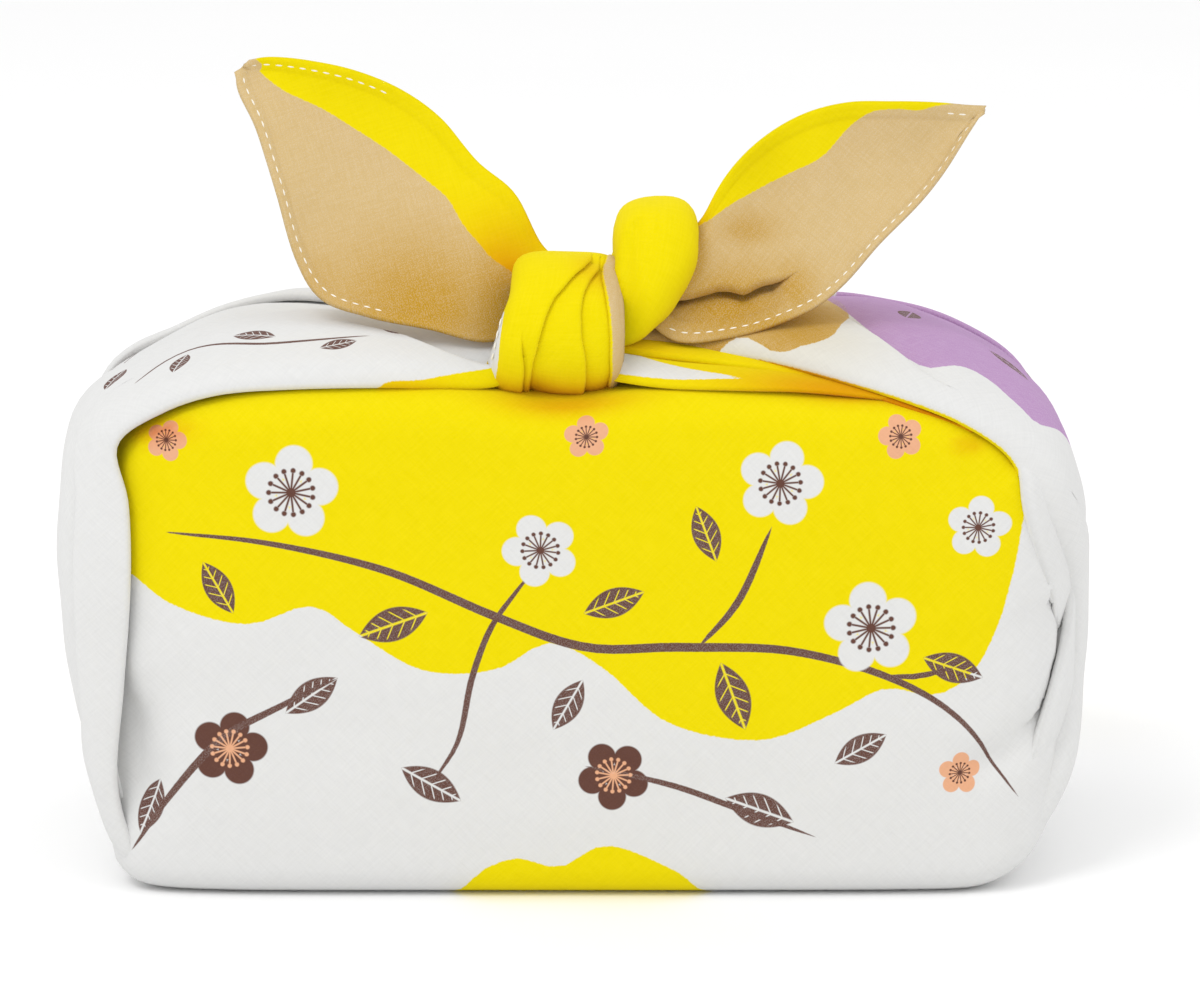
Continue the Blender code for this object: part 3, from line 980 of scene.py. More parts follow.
@dataclass
class GatheredArm(PleatedSheet):
    """A side corner of the cloth, gathered up the end and over the top to the knot.

    A row is front fold x, y, z, back fold x, y, z, rise of the arch over the line between them, its
    lean (0 is outwards, 90 is up), how square it is, and how far the cloth turns back under each fold.
    """

    rows: tuple[Row, ...] = ()
    pleats: tuple[Pleat, ...] = ()
    pleat_spread: float = 1.3
    arch_steps: tuple[int, ...] = (30,)  # before, between and after the pleats
    stations: int = 90
    shoulder: float = 2.0  # how much squarer the front and back shoulders are where the cloth stands upright
    tuck_steps: int = 4
    second_start: float = 0.12  # where the inner turn of the pleat starts, as a share of it
    fold_steps: int = 5
    tuck_share: float = 3.4
    longest_tuck: float = 0.46  # of the arch's length
    tuck_clearance: float = 2.4
    clearance_reach: float = 7.0  # from the fold to where the whole clearance is reached
    held_below: float = 30.0  # how high over the base the cloth waves freely
    cloth_start: float = 100.0  # along the cloth's diagonal, from its middle
    cloth_half_width: float = 60.0
    inner_reach: float = 30.0  # from the arch to where its face looks away from
    layer: float = LAYER

    def even_rows(self) -> np.ndarray:
        """Read the rows at even distances along the arm.

        Returns:
            One row for each station.
        """
        fine = smooth_rows(self.rows, self.fine_rows)
        middle = (fine[:, 0:3] + fine[:, 3:6]) / 2
        lean = np.radians(fine[:, 7])
        middle[:, 0] += math.copysign(1.0, middle[0, 0]) * np.cos(lean) * fine[:, 6]
        middle[:, 2] += np.sin(lean) * fine[:, 6]
        lengths = line_lengths(middle)
        return read_line(fine, lengths, np.linspace(0, lengths[-1], self.stations))

    def arch(self, row: np.ndarray) -> np.ndarray:
        """Give the points over one section's arch, from its front fold to its back fold.

        Args:
            row: the section's row.

        Returns:
            The points, at even distances.
        """
        front, back = row[0:3], row[3:6]
        rise, lean, square = row[6], math.radians(row[7]), row[8]
        across = unit(front - back)
        up = np.array([math.copysign(1.0, front[0] + back[0]) * math.cos(lean), 0.0, math.sin(lean)])
        up = unit(up - across * np.dot(up, across))
        turn = np.linspace(0, math.pi, ARCH_SAMPLES)
        upright = max(0.0, math.cos(lean)) ** 2 if row[9] else 0.0
        fuller = 2 / square / (1 + (self.shoulder - 1) * upright)
        along = signed_power(np.cos(turn), fuller) * np.linalg.norm(front - back) / 2
        over = signed_power(np.sin(turn), 2 / square) * rise
        line = (front + back) / 2 + along[:, None] * across + over[:, None] * up
        return points_at(line, np.linspace(0, 1, ARCH_SAMPLES))

    def tucked(self, edge: np.ndarray, normals: np.ndarray, tuck: float) -> list[np.ndarray]:
        """Give the turned-back cloth under a fold and the round of the fold, towards the fold's edge.

        Args:
            edge: the arch's points from the fold inwards.
            normals: its normals outwards.
            tuck: how far the cloth turns back.

        Returns:
            The points in order.
        """
        along = line_lengths(edge)
        shares = np.linspace(self.second_start, 1.0, self.tuck_steps)
        way = [(tuck * share, 2.0) for share in shares]
        turns = np.linspace(0, math.pi, self.fold_steps)[1:-1]
        way += [(tuck + self.layer / 2 * math.sin(turn), 1.5 + math.cos(turn) / 2) for turn in turns]
        way += [(tuck * share, 1.0) for share in np.linspace(1.0, 0.0, self.tuck_steps)]
        found = []
        for reach, depth in way:
            point, normal = (read_line(values, along, reach) for values in (edge, normals))
            clear = self.tuck_clearance * float(soft_step(np.array(reach / self.clearance_reach)))
            found.append(point - (depth * self.layer + clear) * normal)
        outwards = edge[0] - edge[1]
        outwards = unit(outwards - normals[0] * np.dot(outwards, normals[0]))
        middle = edge[0] - normals[0] * self.layer / 2
        for step in range(1, self.fold_steps):
            turn = math.pi * step / self.fold_steps
            found.append(middle + self.layer / 2 * (outwards * math.sin(turn) - normals[0] * math.cos(turn)))
        return found

    def shape(self) -> Sheet:
        """Work out the arm's sheet.

        Returns:
            The sheet's points, its places in the print and its places on the cloth.
        """
        rows = self.even_rows()
        arch = np.array([self.arch(row) for row in rows])
        normals = grid_normals(arch)
        half = ARCH_SAMPLES // 2
        bulge = arch[:, half] - (arch[:, 0] + arch[:, -1]) / 2
        if (normals[:, half] * bulge).sum() < 0:
            normals = -normals
        waves = ripple(arch, self.wave_sizes, self.wave_depths) * soft_step(arch[..., 2] / self.held_below)
        arch = arch + normals * waves[..., None]
        grid, across, printed = [], [], []
        for index, (row, line, upright) in enumerate(zip(rows, arch, normals)):
            share = index / (len(rows) - 1)
            whole, held = pleated_line(line, upright, share, self.pleats, self.arch_steps, self.pleat_spread)
            first, seen = 0, len(whole)
            if rows[:, 9].any():
                tuck = min(row[9] * self.tuck_share, self.longest_tuck * line_lengths(line)[-1])
                front = self.tucked(line, upright, tuck)
                back = self.tucked(line[::-1], upright[::-1], tuck)
                first = len(front)
                whole = np.array(front + list(whole) + back[::-1])
            lengths = line_lengths(whole)
            lengths -= lengths[first]
            past = lengths[first + seen:] - lengths[first + seen - 1] + held[-1]
            printed.append(np.concatenate([lengths[:first], held, past]))
            across.append(lengths)
            grid.append(whole)
        grid = np.array(grid)
        across = np.array(across)
        along = line_lengths(grid[:, grid.shape[1] // 2])[:, None] * np.ones_like(across)
        out = math.copysign(1.0, rows[0, 0]) * (self.cloth_start + along)
        return grid, np.stack([along, np.array(printed)], axis=2), diagonal(out, across - self.cloth_half_width)

    def outside(self, grid: np.ndarray) -> np.ndarray:
        """A point inside the arch of each row.

        Args:
            grid: the sheet's points.

        Returns:
            One point for each of the sheet's.
        """
        count = grid.shape[1]
        below = (grid[:, count // 4] + grid[:, 3 * count // 4]) / 2
        bulge = unit(grid[:, count // 2] - below)
        return np.repeat((below - bulge * self.inner_reach)[:, None], count, axis=1)


LEFT_ARM_ROWS = (
    (-80, -42, 1, -80, 40, 1, 9, 0, 2.8, 2),
    (-89, -52.5, 2.2, -89, 51.5, 2.2, 5.4, 0, 3, 4),
    (-96.6, -57.4, 9, -96, 57, 9, 5.2, 0, 3, 7),
    (-100.6, -59.4, 25, -100, 60.5, 25, 6.4, 0, 3, 9),
    (-98.6, -61.8, 47, -98.6, 62.6, 47, 13.2, 0, 3, 14),
    (-96.6, -63, 70, -96.8, 63.2, 70, 17.4, 0, 3, 18),
    (-96.8, -62.2, 88, -97, 62.4, 88, 16.4, 4, 2.8, 18),
    (-99, -60.5, 101.5, -97, 59, 98.8, 11.6, 28, 2.1, 18),
    (-89, -58.5, 109, -87, 55, 106.3, 9.6, 54, 1.8, 18),
    (-76, -58, 113, -76, 50.5, 111.3, 10.4, 72, 1.9, 18),
    (-60, -58.2, 114.2, -62, 40, 115, 10.5, 84, 2, 18),
    (-43, -58.2, 114.6, -44, 20, 116.5, 10, 90, 1.8, 14),
    (-29, -57, 114.2, -29, 0, 118, 8.8, 90, 1.8, 10),
    (-16, -54.6, 114, -16, -18, 119, 7.5, 90, 1.8, 7),
    (-6, -49, 117, -6, -27, 120, 6, 90, 1.8, 5),
)
RIGHT_ARM_ROWS = (
    (82, -40, 1.2, 82, 40, 1.2, 14, 0, 2.8, 2),
    (91, -51, 2.4, 90, 51, 2.4, 7, 0, 3, 4),
    (100.8, -53, 12, 99, 56, 12, 6.4, 0, 3, 5),
    (105.8, -49.5, 27, 105, 57, 27, 9.6, 0, 3, 6),
    (111.6, -39.5, 45, 107, 58, 45, 6.2, 0, 2.4, 7),
    (112.4, -40, 61, 106.8, 60, 61, 6, 0, 2.3, 9),
    (107.8, -52.2, 77, 103.6, 61, 77, 9.4, 3, 2.6, 14),
    (101.4, -58.4, 89, 99.6, 61, 89, 13, 10, 2.6, 17),
    (96.5, -59.4, 99, 94.5, 58.5, 98.6, 13.4, 34, 2.1, 18),
    (86, -59.5, 106.5, 85, 54.5, 105.8, 12, 56, 1.9, 18),
    (73, -58, 111.5, 74, 49.5, 110.6, 11.4, 72, 1.9, 18),
    (58, -54.5, 115.5, 60, 38, 115, 9.5, 86, 2, 16),
    (42, -48, 118.5, 43, 18, 117, 8, 90, 2, 12),
    (26, -43, 119.5, 28, 0, 118, 7, 90, 2, 8),
    (12, -41, 120, 14, -20, 119, 6, 90, 2, 6),
    (2, -42, 120.5, 4, -27, 120, 5, 90, 2, 4),
)
UNDERFOLD_ROWS = (
    (76, -54.6, 109.4, 76, -53.4, 109.9, 0.1, 80, 2, 0),
    (70, -56.2, 110.2, 70, -52.6, 111.4, 0.3, 80, 2, 0),
    (62, -57.2, 111.2, 62, -50, 114, 0.6, 80, 2, 0),
    (50, -58.2, 112.4, 50, -49, 115, 1, 80, 2, 0),
    (36, -58.4, 112.7, 36, -46.5, 116, 1.5, 85, 2, 0),
    (21, -56.6, 112.9, 22, -43, 116.4, 2, 90, 2, 0),
    (6, -52, 114.4, 8, -34, 119, 3, 90, 2, 0),
)
INNER_FOLD_ROWS = (
    (88, -58, 103.5, 88, -50, 106, 0.5, 70, 2, 0),
    (74, -57.5, 108.6, 74, -48, 111.5, 0.6, 75, 2, 0),
    (60, -54.5, 112.6, 60, -44, 116, 0.8, 80, 2, 0),
    (46, -51.5, 115.2, 46, -40, 119, 0.8, 80, 2, 0),
    (32, -49.5, 117, 32, -36, 120.5, 0.8, 85, 2, 0),
    (18, -47.5, 118.4, 20, -32, 121.5, 0.8, 90, 2, 0),
    (6, -45, 119.5, 8, -30, 122, 0.8, 90, 2, 0),
)
UPPER_SIDE_ROWS = (
    (98.4, -58.4, 97.6, 103.4, -53, 97, 0.4, 0, 2, 1.6),
    (98.8, -60.4, 93.6, 107.4, -52, 93, 1.2, 0, 2, 2),
    (99.8, -60.4, 86.6, 110, -48, 84, 1.5, 0, 2, 2.2),
    (102.4, -58.4, 77.8, 112, -43, 75, 1.5, 0, 2, 2.2),
    (104.8, -55.8, 70.5, 112.8, -39, 68, 1.2, 0, 2, 2),
    (106.8, -52, 64, 112.4, -36, 62, 0.8, 0, 2, 1.6),
    (108.4, -46, 57, 111, -36, 56, 0.1, 0, 2, 1.6),
)
LOWER_SIDE_ROWS = (
    (112, -42, 69, 112.6, -29, 68, 0.4, 0, 2, 1.6),
    (111.8, -43.4, 61, 112.8, -29, 60, 0.8, 0, 2, 1.8),
    (110, -47.2, 53, 113, -31, 52, 1.3, 0, 2, 2.2),
    (107.4, -51.4, 45, 112.6, -34, 44, 1.6, 0, 2, 2.4),
    (105, -54, 38, 111.6, -37, 36, 1.4, 0, 2, 2.4),
    (102.6, -55.2, 30, 110, -40, 27, 0.9, 0, 2, 2),
    (100.4, -54.4, 22, 107, -42, 18, 0.3, 0, 2, 1.6),
)
LEFT_ARM_PLEATS = (
    Pleat(((0.06, 0.10, 0), (0.14, 0.09, 0.6), (0.20, 0.065, 1), (0.29, 0.075, 1), (0.36, 0.080, 1),
           (0.42, 0.075, 0.9), (0.48, 0.09, 0.4), (0.56, 0.14, 0), (0.78, 0.28, 0), (0.85, 0.25, 0.5),
           (0.90, 0.16, 0.7), (0.95, 0.10, 0.5), (1, 0.08, 0)), overlap=4, drop=2.8, reach=10),
    Pleat(((0.10, 0.34, 0), (0.20, 0.36, 0.9), (0.45, 0.33, 1), (0.62, 0.33, 1), (0.80, 0.44, 1),
           (0.93, 0.42, 1), (1, 0.42, 0.9)), overlap=4, drop=2.6),
    Pleat(((0.05, 0.66, 0), (0.16, 0.68, 0.9), (0.40, 0.70, 1), (0.55, 0.68, 1), (0.75, 0.70, 1),
           (0.88, 0.70, 1), (1, 0.70, 0.9)), overlap=5, drop=2.8, facing=-1),
)
RIGHT_ARM_PLEATS = (
    Pleat(((0.06, 0.12, 0), (0.12, 0.12, 0.8), (0.20, 0.10, 1), (0.28, 0.10, 1), (0.36, 0.11, 0.4),
           (0.44, 0.06, 0), (0.60, 0.05, 0), (0.64, 0.075, 0.45), (0.67, 0.14, 0.8), (0.70, 0.25, 0.9),
           (0.735, 0.42, 0.8), (0.78, 0.46, 0.5), (0.86, 0.46, 0)), overlap=3.5, drop=2.2, reach=9),
    Pleat(((0.10, 0.36, 0), (0.20, 0.38, 0.9), (0.42, 0.36, 1), (0.52, 0.36, 0.8), (0.58, 0.39, 0.2),
           (0.66, 0.44, 0), (0.735, 0.60, 0), (0.80, 0.62, 0.8), (1, 0.60, 0.8)),
          overlap=4, drop=2.6),
    Pleat(((0.05, 0.66, 0), (0.16, 0.67, 0.9), (0.40, 0.70, 0.9), (0.52, 0.72, 0.3), (0.75, 0.80, 0.3),
           (0.88, 0.80, 0.7), (1, 0.78, 0.5)), overlap=5, drop=2.6, facing=-1),
)


# ------------------------------------------------------------------ the knot


BAND_PLEATS = (
    Pleat(((0, 0.27, 0), (0.22, 0.27, 0), (0.29, 0.285, 0.5), (0.325, 0.29, 0.9), (0.43, 0.296, 0.9),
           (0.47, 0.30, 0), (1, 0.27, 0)), overlap=1.4, drop=1.2, reach=5),
    Pleat(((0, 0.66, 0), (0.03, 0.65, 0.7), (0.071, 0.60, 1), (0.112, 0.514, 1), (0.158, 0.425, 1),
           (0.20, 0.388, 0.9), (0.242, 0.374, 0.5), (0.275, 0.356, 0.9), (0.308, 0.336, 1), (0.358, 0.328, 0.9),
           (0.43, 0.33, 0.6), (0.48, 0.34, 0), (1, 0.66, 0)), overlap=1.8, drop=1.4, reach=8),
    Pleat(((0, 0.715, 0), (0.03, 0.71, 0.7), (0.054, 0.70, 1), (0.104, 0.64, 1), (0.142, 0.602, 1),
           (0.192, 0.598, 1), (0.242, 0.614, 0.8), (0.292, 0.638, 1), (0.362, 0.648, 0.9), (0.44, 0.65, 0.5),
           (0.48, 0.65, 0), (1, 0.715, 0)), overlap=1.6, drop=1.3, reach=8),
    Pleat(((0, 0.765, 0.5), (0.075, 0.755, 1), (0.133, 0.773, 1), (0.188, 0.806, 1), (0.262, 0.821, 1),
           (0.346, 0.821, 1), (0.45, 0.82, 0.4), (0.52, 0.82, 0), (0.92, 0.77, 0), (1, 0.765, 0.5)),
          overlap=0.8, drop=0.9, facing=-1, reach=2.5),
)


@dataclass
class KnotBand(PleatedSheet):
    """The band across the tie: a barrel of cloth with long slanting pleats, its rims rolled in."""

    name: str = "knot_band"
    rows: tuple[Row, ...] = (
        # x, half height, half depth
        (-17.8, 9.0, 11.0),
        (-16.7, 13.2, 16.2),
        (-13.2, 15.4, 18.4),
        (-4.0, 16.4, 19.4),
        (5.0, 16.2, 19.0),
        (9.4, 15.2, 17.8),
        (11.4, 13.2, 15.8),
        (12.1, 9.0, 11.0),
    )
    middle: tuple[float, float] = (-42.6, 124.4)
    narrowing: float = 0.165  # of its left half, at the top
    fine_rows: int = 400
    girth: float = 107.0
    cloth_start: float = 150.0
    sides: int = 88
    samples: int = 128
    pleats: tuple[Pleat, ...] = BAND_PLEATS
    steps: tuple[int, ...] = (6, 6, 5, 4, 5)
    pleat_spread: float = 0.7
    thickness: float = 0.5
    wave_sizes: tuple[float, ...] = (23.0, 9.0)
    wave_depths: tuple[float, ...] = (0.45, 0.12)
    closes: bool = True

    def lines(self) -> Seam:
        """Give close lines of points from the band's left rim to its right one, and its normals outwards.

        Returns:
            The lines' points, and the normals there.
        """
        fine = points_at(smooth_rows(self.rows, self.fine_rows), np.linspace(0, 1, self.samples))
        turn = np.linspace(0, 2 * math.pi, self.sides + 1)[:, None] + math.pi / 2
        x = fine[:, 0] * (1 - self.narrowing * (1 + np.sin(turn)) * (fine[:, 0] < 0))
        y = self.middle[0] + fine[:, 2] * np.cos(turn)
        z = self.middle[1] + fine[:, 1] * np.sin(turn)
        lines = np.stack(np.broadcast_arrays(x, y, z), axis=2)
        outwards = lines - (0.0, *self.middle)
        outwards[..., 0] = 0.0
        normals = grid_normals(lines)
        normals *= np.sign((normals * outwards).sum(axis=2, keepdims=True))
        normals[0] = normals[-1] = unit(normals[0] + normals[-1])
        return lines + normals * ripple(lines, self.wave_sizes, self.wave_depths)[..., None], normals

    def shape(self) -> Sheet:
        """Work out the band's sheet, its first and last sections the same.

        Returns:
            The sheet's points, its places in the print and its places on the cloth.
        """
        grid, across = [], []
        for index, (line, upright) in enumerate(zip(*self.lines())):
            share = index / self.sides
            points, held = pleated_line(line, upright, share, self.pleats, self.steps, self.pleat_spread)
            grid.append(points)
            across.append(held - self.pleats[-1].at(share, held[-1])[0])
        grid = np.array(grid)
        grid[-1] = grid[0]
        around = np.linspace(0, self.girth, self.sides + 1)[:, None] * np.ones_like(grid[..., 0])
        flat = np.stack([around, np.array(across)], axis=2)
        cloth = np.stack([around, np.array([line_lengths(section) for section in grid])], axis=2)
        return grid, flat, cloth + self.cloth_start

    def seam(self, across: float, first: float, last: float) -> Seam:
        """Give a line round the band for stitches.

        Args:
            across: its share of the way from the left rim.
            first: the share of the way round at which it starts.
            last: the share at which it ends.

        Returns:
            The line's points and the normals there.
        """
        lines, normals = self.lines()
        kept = slice(int(first * self.sides), int(last * self.sides) + 1)
        column = int(across * (self.samples - 1))
        return lines[kept, column], normals[kept, column]


LOBE_CREASES = (
    Crease(((17.5, -36, 149), (14.2, -41, 144), (12.8, -45, 137), (13.4, -48, 129)), height=1.1, reach=4.0, edge=1.1),
    Crease(((25, -40, 146), (24.5, -46, 138), (20, -49, 130)), height=0.35, reach=3.0, kind=CreaseKind.GROOVE),
)


@dataclass
class KnotLobe(ClothSheet):
    """The fat roll of cloth that comes over the top behind the band and down its right side."""

    name: str = "knot_lobe"
    rows: tuple[Row, ...] = (
        # x, y, z, radius
        (12.0, -19.3, 123.6, 6.9),
        (18.4, -17.5, 136.0, 8.0),
        (19.4, -25.0, 141.6, 8.9),
        (19.4, -34.0, 140.4, 8.9),
        (17.6, -40.5, 133.8, 7.5),
        (13.6, -43.5, 127.4, 5.6),
        (8.0, -42.0, 121.8, 3.8),
    )
    stations: int = 44
    sides: int = 40
    squareness: float = 2.7
    flat_radius: float = 8.0
    cloth_start: float = 190.0
    thickness: float = 0.7
    wave_sizes: tuple[float, ...] = (19.0, 8.0)
    wave_depths: tuple[float, ...] = (0.5, 0.12)
    closes: bool = True

    def shape(self) -> Sheet:
        """Work out the lobe's sheet, its first and last points round it the same.

        Returns:
            The sheet's points, its places in the print and its places on the cloth.
        """
        rows = smooth_rows(self.rows, self.stations)
        ways = unit(np.gradient(rows[:, :3], axis=0))
        turn = np.linspace(0, 2 * math.pi, self.sides + 1)
        side = unit(np.cross(ways, (1.0, 0.0, 0.0)))
        across = unit(np.cross(ways, side))
        wide, high = (signed_power(part(turn), 2 / self.squareness)[None, :, None] for part in (np.cos, np.sin))
        ring = side[:, None] * wide + across[:, None] * high
        grid = rows[:, None, :3] + rows[:, None, 3:4] * ring
        along = line_lengths(rows[:, :3])[:, None] * np.ones_like(turn)[None]
        flat = np.stack([along, np.broadcast_to(turn * self.flat_radius, along.shape)], axis=2)
        return grid, flat, flat + self.cloth_start

    def outside(self, grid: np.ndarray) -> np.ndarray:
        """The lobe's own middle line."""
        middle = grid[:, :-1].mean(axis=1)
        return np.repeat(middle[:, None], grid.shape[1], axis=1)


@dataclass
class FreeEnd(PleatedSheet):
    """A free end of the tie, the very corner of the square, with a hem along two of its edges.

    A row is the lower edge x, y, z, the upper edge x, y, z, and how far its middle falls back.
    """

    rows: tuple[Row, ...] = ()
    pleats: tuple[Pleat, ...] = ()
    steps: tuple[int, ...] = (16,)
    pleat_spread: float = 1.0
    stations: int = 62
    hem_places: tuple[float, ...] = (0.0, 0.7, 1.5, 2.2, 2.9, 3.5, 4.4)
    hem_share: float = 0.42  # of the section at most, for each hem
    hem_width: float = 3.2
    hem_rise: float = 0.4
    seam_inset: float = 2.2
    seam_share: float = 0.3  # of the section at most, for the inset
    seam_dip: float = 0.22
    seam_spread: float = 0.45
    samples: int = 81
    behind: float = 30.0
    hem_turn: float = 0.0
    wave_sizes: tuple[float, ...] = (38.0, 17.0)
    wave_depths: tuple[float, ...] = (0.8, 0.2)

    def shape(self) -> Sheet:
        """Work out the free end's sheet.

        Returns:
            The sheet's points, its places in the print and its places on the cloth.
        """
        lines, normals = self.lines()
        grid = np.array([self.with_hems(line, upright, index / (len(lines) - 1))
                         for index, (line, upright) in enumerate(zip(lines, normals))])
        flat = grid[..., ::2]
        return grid, flat, turned(flat, self.hem_turn)

    def lines(self) -> Seam:
        """Give close lines of points across the end, and its normals, which look to the front.

        Returns:
            The lines' points, and the normals there.
        """
        rows = smooth_rows(self.rows, self.stations)
        share = np.linspace(0, 1, self.samples)[None, :, None]
        low, high = rows[:, None, 0:3], rows[:, None, 3:6]
        lines = low + (high - low) * share
        lines[..., 1] += rows[:, 6:7] * np.sin(math.pi * share[..., 0])
        normals = grid_normals(lines)
        if normals[..., 1].sum() > 0:
            normals = -normals
        waves = ripple(lines, self.wave_sizes, self.wave_depths) * self.slack(lines)
        return lines + normals * waves[..., None], normals

    def with_hems(self, line: np.ndarray, upright: np.ndarray, share: float) -> np.ndarray:
        """Lay a section in its pleats between the doubled hems along both its edges.

        Args:
            line: close points across the section.
            upright: the normals at them.
            share: how far along the end the section is.

        Returns:
            The section's points.
        """
        lengths = line_lengths(line)
        total = lengths[-1]
        places = np.array(self.hem_places) * min(1.0, self.hem_share * total / self.hem_places[-1])
        rise = self.hem_rise * (1 - soft_step((places - self.hem_width + 0.4) / 0.6))
        rise -= self.seam_dip * np.exp(-(((places - self.seam_inset) / self.seam_spread) ** 2))

        def read(ends: np.ndarray) -> Seam:
            """Read points and normals at distances along the section."""
            return read_line(line, lengths, ends), unit(read_line(upright, lengths, ends))

        low, low_normal = read(places)
        high, high_normal = read(total - places[::-1])
        inner, inner_normal = read(np.linspace(places[-1], total - places[-1], len(line)))
        whole, _ = pleated_line(inner, inner_normal, share, self.pleats, self.steps, self.pleat_spread)
        return np.vstack([low + low_normal * rise[:, None], whole[1:-1], high + high_normal * rise[::-1, None]])

    def seam(self, side: int, first: float, last: float) -> Seam:
        """Give the line of the hem's stitches on the face.

        Args:
            side: 0 for the lower edge, 1 for the upper.
            first: the share of the way along at which the line starts.
            last: the share at which it ends.

        Returns:
            The line's points and the normals there.
        """
        lines, normals = self.lines()
        found = []
        for index, (line, upright) in enumerate(zip(lines, normals)):
            if first <= index / (len(lines) - 1) <= last:
                lengths = line_lengths(line)
                reach = min(self.seam_inset, lengths[-1] * self.seam_share)
                reach = lengths[-1] - reach if side else reach
                found.append([read_line(values, lengths, reach) for values in (line, upright)])
        points, uprights = np.array(found).transpose(1, 0, 2)
        return points, unit(uprights)

    def outside(self, grid: np.ndarray) -> np.ndarray:
        """The points behind the end, so that its face looks to the front."""
        return grid + (0.0, self.behind, 0.0)

    def slack(self, grid: np.ndarray) -> np.ndarray:
        """The end is held where it leaves the knot and at its tip."""
        share = np.linspace(0, 1, grid.shape[0])[:, None]
        return np.broadcast_to(soft_step(share * 5) * soft_step((1 - share) * 6), grid.shape[:2])


LEFT_END_ROWS = (
    (-6, -42, 124, 0, -34, 136, 0),
    (-18, -46, 121.2, -6.4, -30, 141, -1),
    (-31, -45, 124, -12, -27, 151.5, 0),
    (-44, -42, 126.5, -20, -25, 158.5, 2),
    (-54.5, -38, 129.5, -28, -24, 168, 4),
    (-60.5, -34, 138, -37, -23, 174.3, 5),
    (-65, -30, 152.5, -48, -22, 179, 4.5),
    (-69, -26, 165.5, -58, -21, 181, 2.5),
    (-73.2, -23, 174, -66, -21, 181.6, 1),
    (-74, -21, 178, -71, -21, 181, 0),
)
RIGHT_END_ROWS = (
    (16, -38, 126, 19, -30, 136, 0),
    (24, -44, 121, 29.5, -27, 145, -1),
    (36, -44, 122, 34, -26, 154, 4),
    (45.5, -41, 124, 42, -25, 163, 7),
    (54, -37, 127, 51.6, -24, 169, 5),
    (61.7, -33, 132.5, 62, -23, 171.8, 5),
    (70, -30, 141.5, 72.5, -22, 172, 4),
    (79, -26, 150.6, 82.5, -21, 171.6, 3),
    (87, -23, 161, 89.5, -21, 171, 1),
    (92.4, -21, 169.2, 93.2, -21, 170.8, 0),
)
RIGHT_END_PLEATS = (
    Pleat(((0, 0.36, 0.3), (0.05, 0.36, 1), (0.106, 0.36, 1), (0.166, 0.365, 1), (0.201, 0.365, 1),
           (0.231, 0.325, 1), (0.266, 0.25, 0.9), (0.302, 0.26, 0.8), (0.337, 0.235, 0.6), (0.37, 0.20, 0.25),
           (0.42, 0.18, 0)), overlap=4, drop=4.2, facing=-1, reach=5),
)


# ------------------------------------------------------------------ the hems' thread


@dataclass
class RunningStitch:
    """A row of stitches along a hem, seen on both faces of the cloth."""

    line: np.ndarray
    normals: np.ndarray
    pitch: float = 2.7
    length: float = 2.0
    radius: float = 0.24
    breadth: float = 1.25  # of its radius, along the cloth
    ahead: float = 0.8  # how far on its way is read
    lift: float = 0.5  # of the thread's middle over the middle of the cloth

    def spots(self) -> list[tuple[np.ndarray, np.ndarray, np.ndarray]]:
        """Give each stitch's middle, its way and the normal there, on both faces.

        Returns:
            The middle, way and normal of each stitch.
        """
        lengths = line_lengths(self.line)
        found = []
        for face, start in ((1.0, 0.5), (-1.0, 1.0)):
            for reach in np.arange(self.pitch * start, lengths[-1] - self.length / 2, self.pitch):
                at, ahead = (read_line(self.line, lengths, reach + step) for step in (0.0, self.ahead))
                normal = read_line(self.normals, lengths, reach)
                found.append((at + normal * face * self.lift, unit(ahead - at), unit(normal)))
        return found


@dataclass
class HemThread:
    """All the stitches of the hems, as one piece of thread."""

    rows: list[RunningStitch]
    name: str = "hem_thread"

    def build(self, finish: bpy.types.Material) -> bpy.types.Object:
        """Model one stitch, copy it along the hems and join the copies.

        Args:
            finish: the thread's material.

        Returns:
            The thread's object.
        """
        deselect()
        bpy.ops.mesh.primitive_uv_sphere_add(segments=8, ring_count=6, radius=1.0)
        pattern = bpy.context.object
        bpy.ops.object.shade_smooth()
        copies = []
        for row in self.rows:
            for spot, way, normal in row.spots():
                copy = bpy.data.objects.new("stitch", pattern.data.copy())
                bpy.context.scene.collection.objects.link(copy)
                turn = np.identity(4)
                turn[:3, 0] = way * row.length / 2 * MM
                turn[:3, 1] = np.cross(normal, way) * row.radius * row.breadth * MM
                turn[:3, 2] = normal * row.radius * MM
                turn[:3, 3] = (spot + SHIFT) * MM
                copy.data.transform(Matrix(turn.tolist()))
                copies.append(copy)
        bpy.data.objects.remove(pattern, do_unlink=True)
        return joined(copies, self.name, finish)


# ------------------------------------------------------------------ materials


Colour = tuple[int, int, int]


def linear(colour: Colour) -> tuple[float, ...]:
    """Turn a colour of a screen, 0 to 255, into the shader's own numbers."""
    shares = [part / 255 for part in colour]
    return (*(share / 12.92 if share <= 0.04045 else ((share + 0.055) / 1.055) ** 2.4 for share in shares), 1.0)


class Number:
    """One number in a material's tree; its arithmetic adds Math nodes."""

    def __init__(self, bench: "Bench", socket: bpy.types.NodeSocket) -> None:
        """Take over an output socket of the tree."""
        self.bench = bench
        self.socket = socket

    def __add__(self, other: object) -> "Number":
        """Add a number."""
        return self.bench.math("ADD", self, other)

    def __sub__(self, other: object) -> "Number":
        """Take a number away."""
        return self.bench.math("SUBTRACT", self, other)

    def __rsub__(self, other: float) -> "Number":
        """Take this away from a number."""
        return self.bench.math("SUBTRACT", other, self)

    def __mul__(self, other: object) -> "Number":
        """Multiply by a number."""
        return self.bench.math("MULTIPLY", self, other)

    def __or__(self, other: object) -> "Number":
        """Give the larger of two numbers."""
        return self.bench.math("MAXIMUM", self, other)

    def __abs__(self) -> "Number":
        """Drop the sign."""
        return self.bench.math("ABSOLUTE", self)


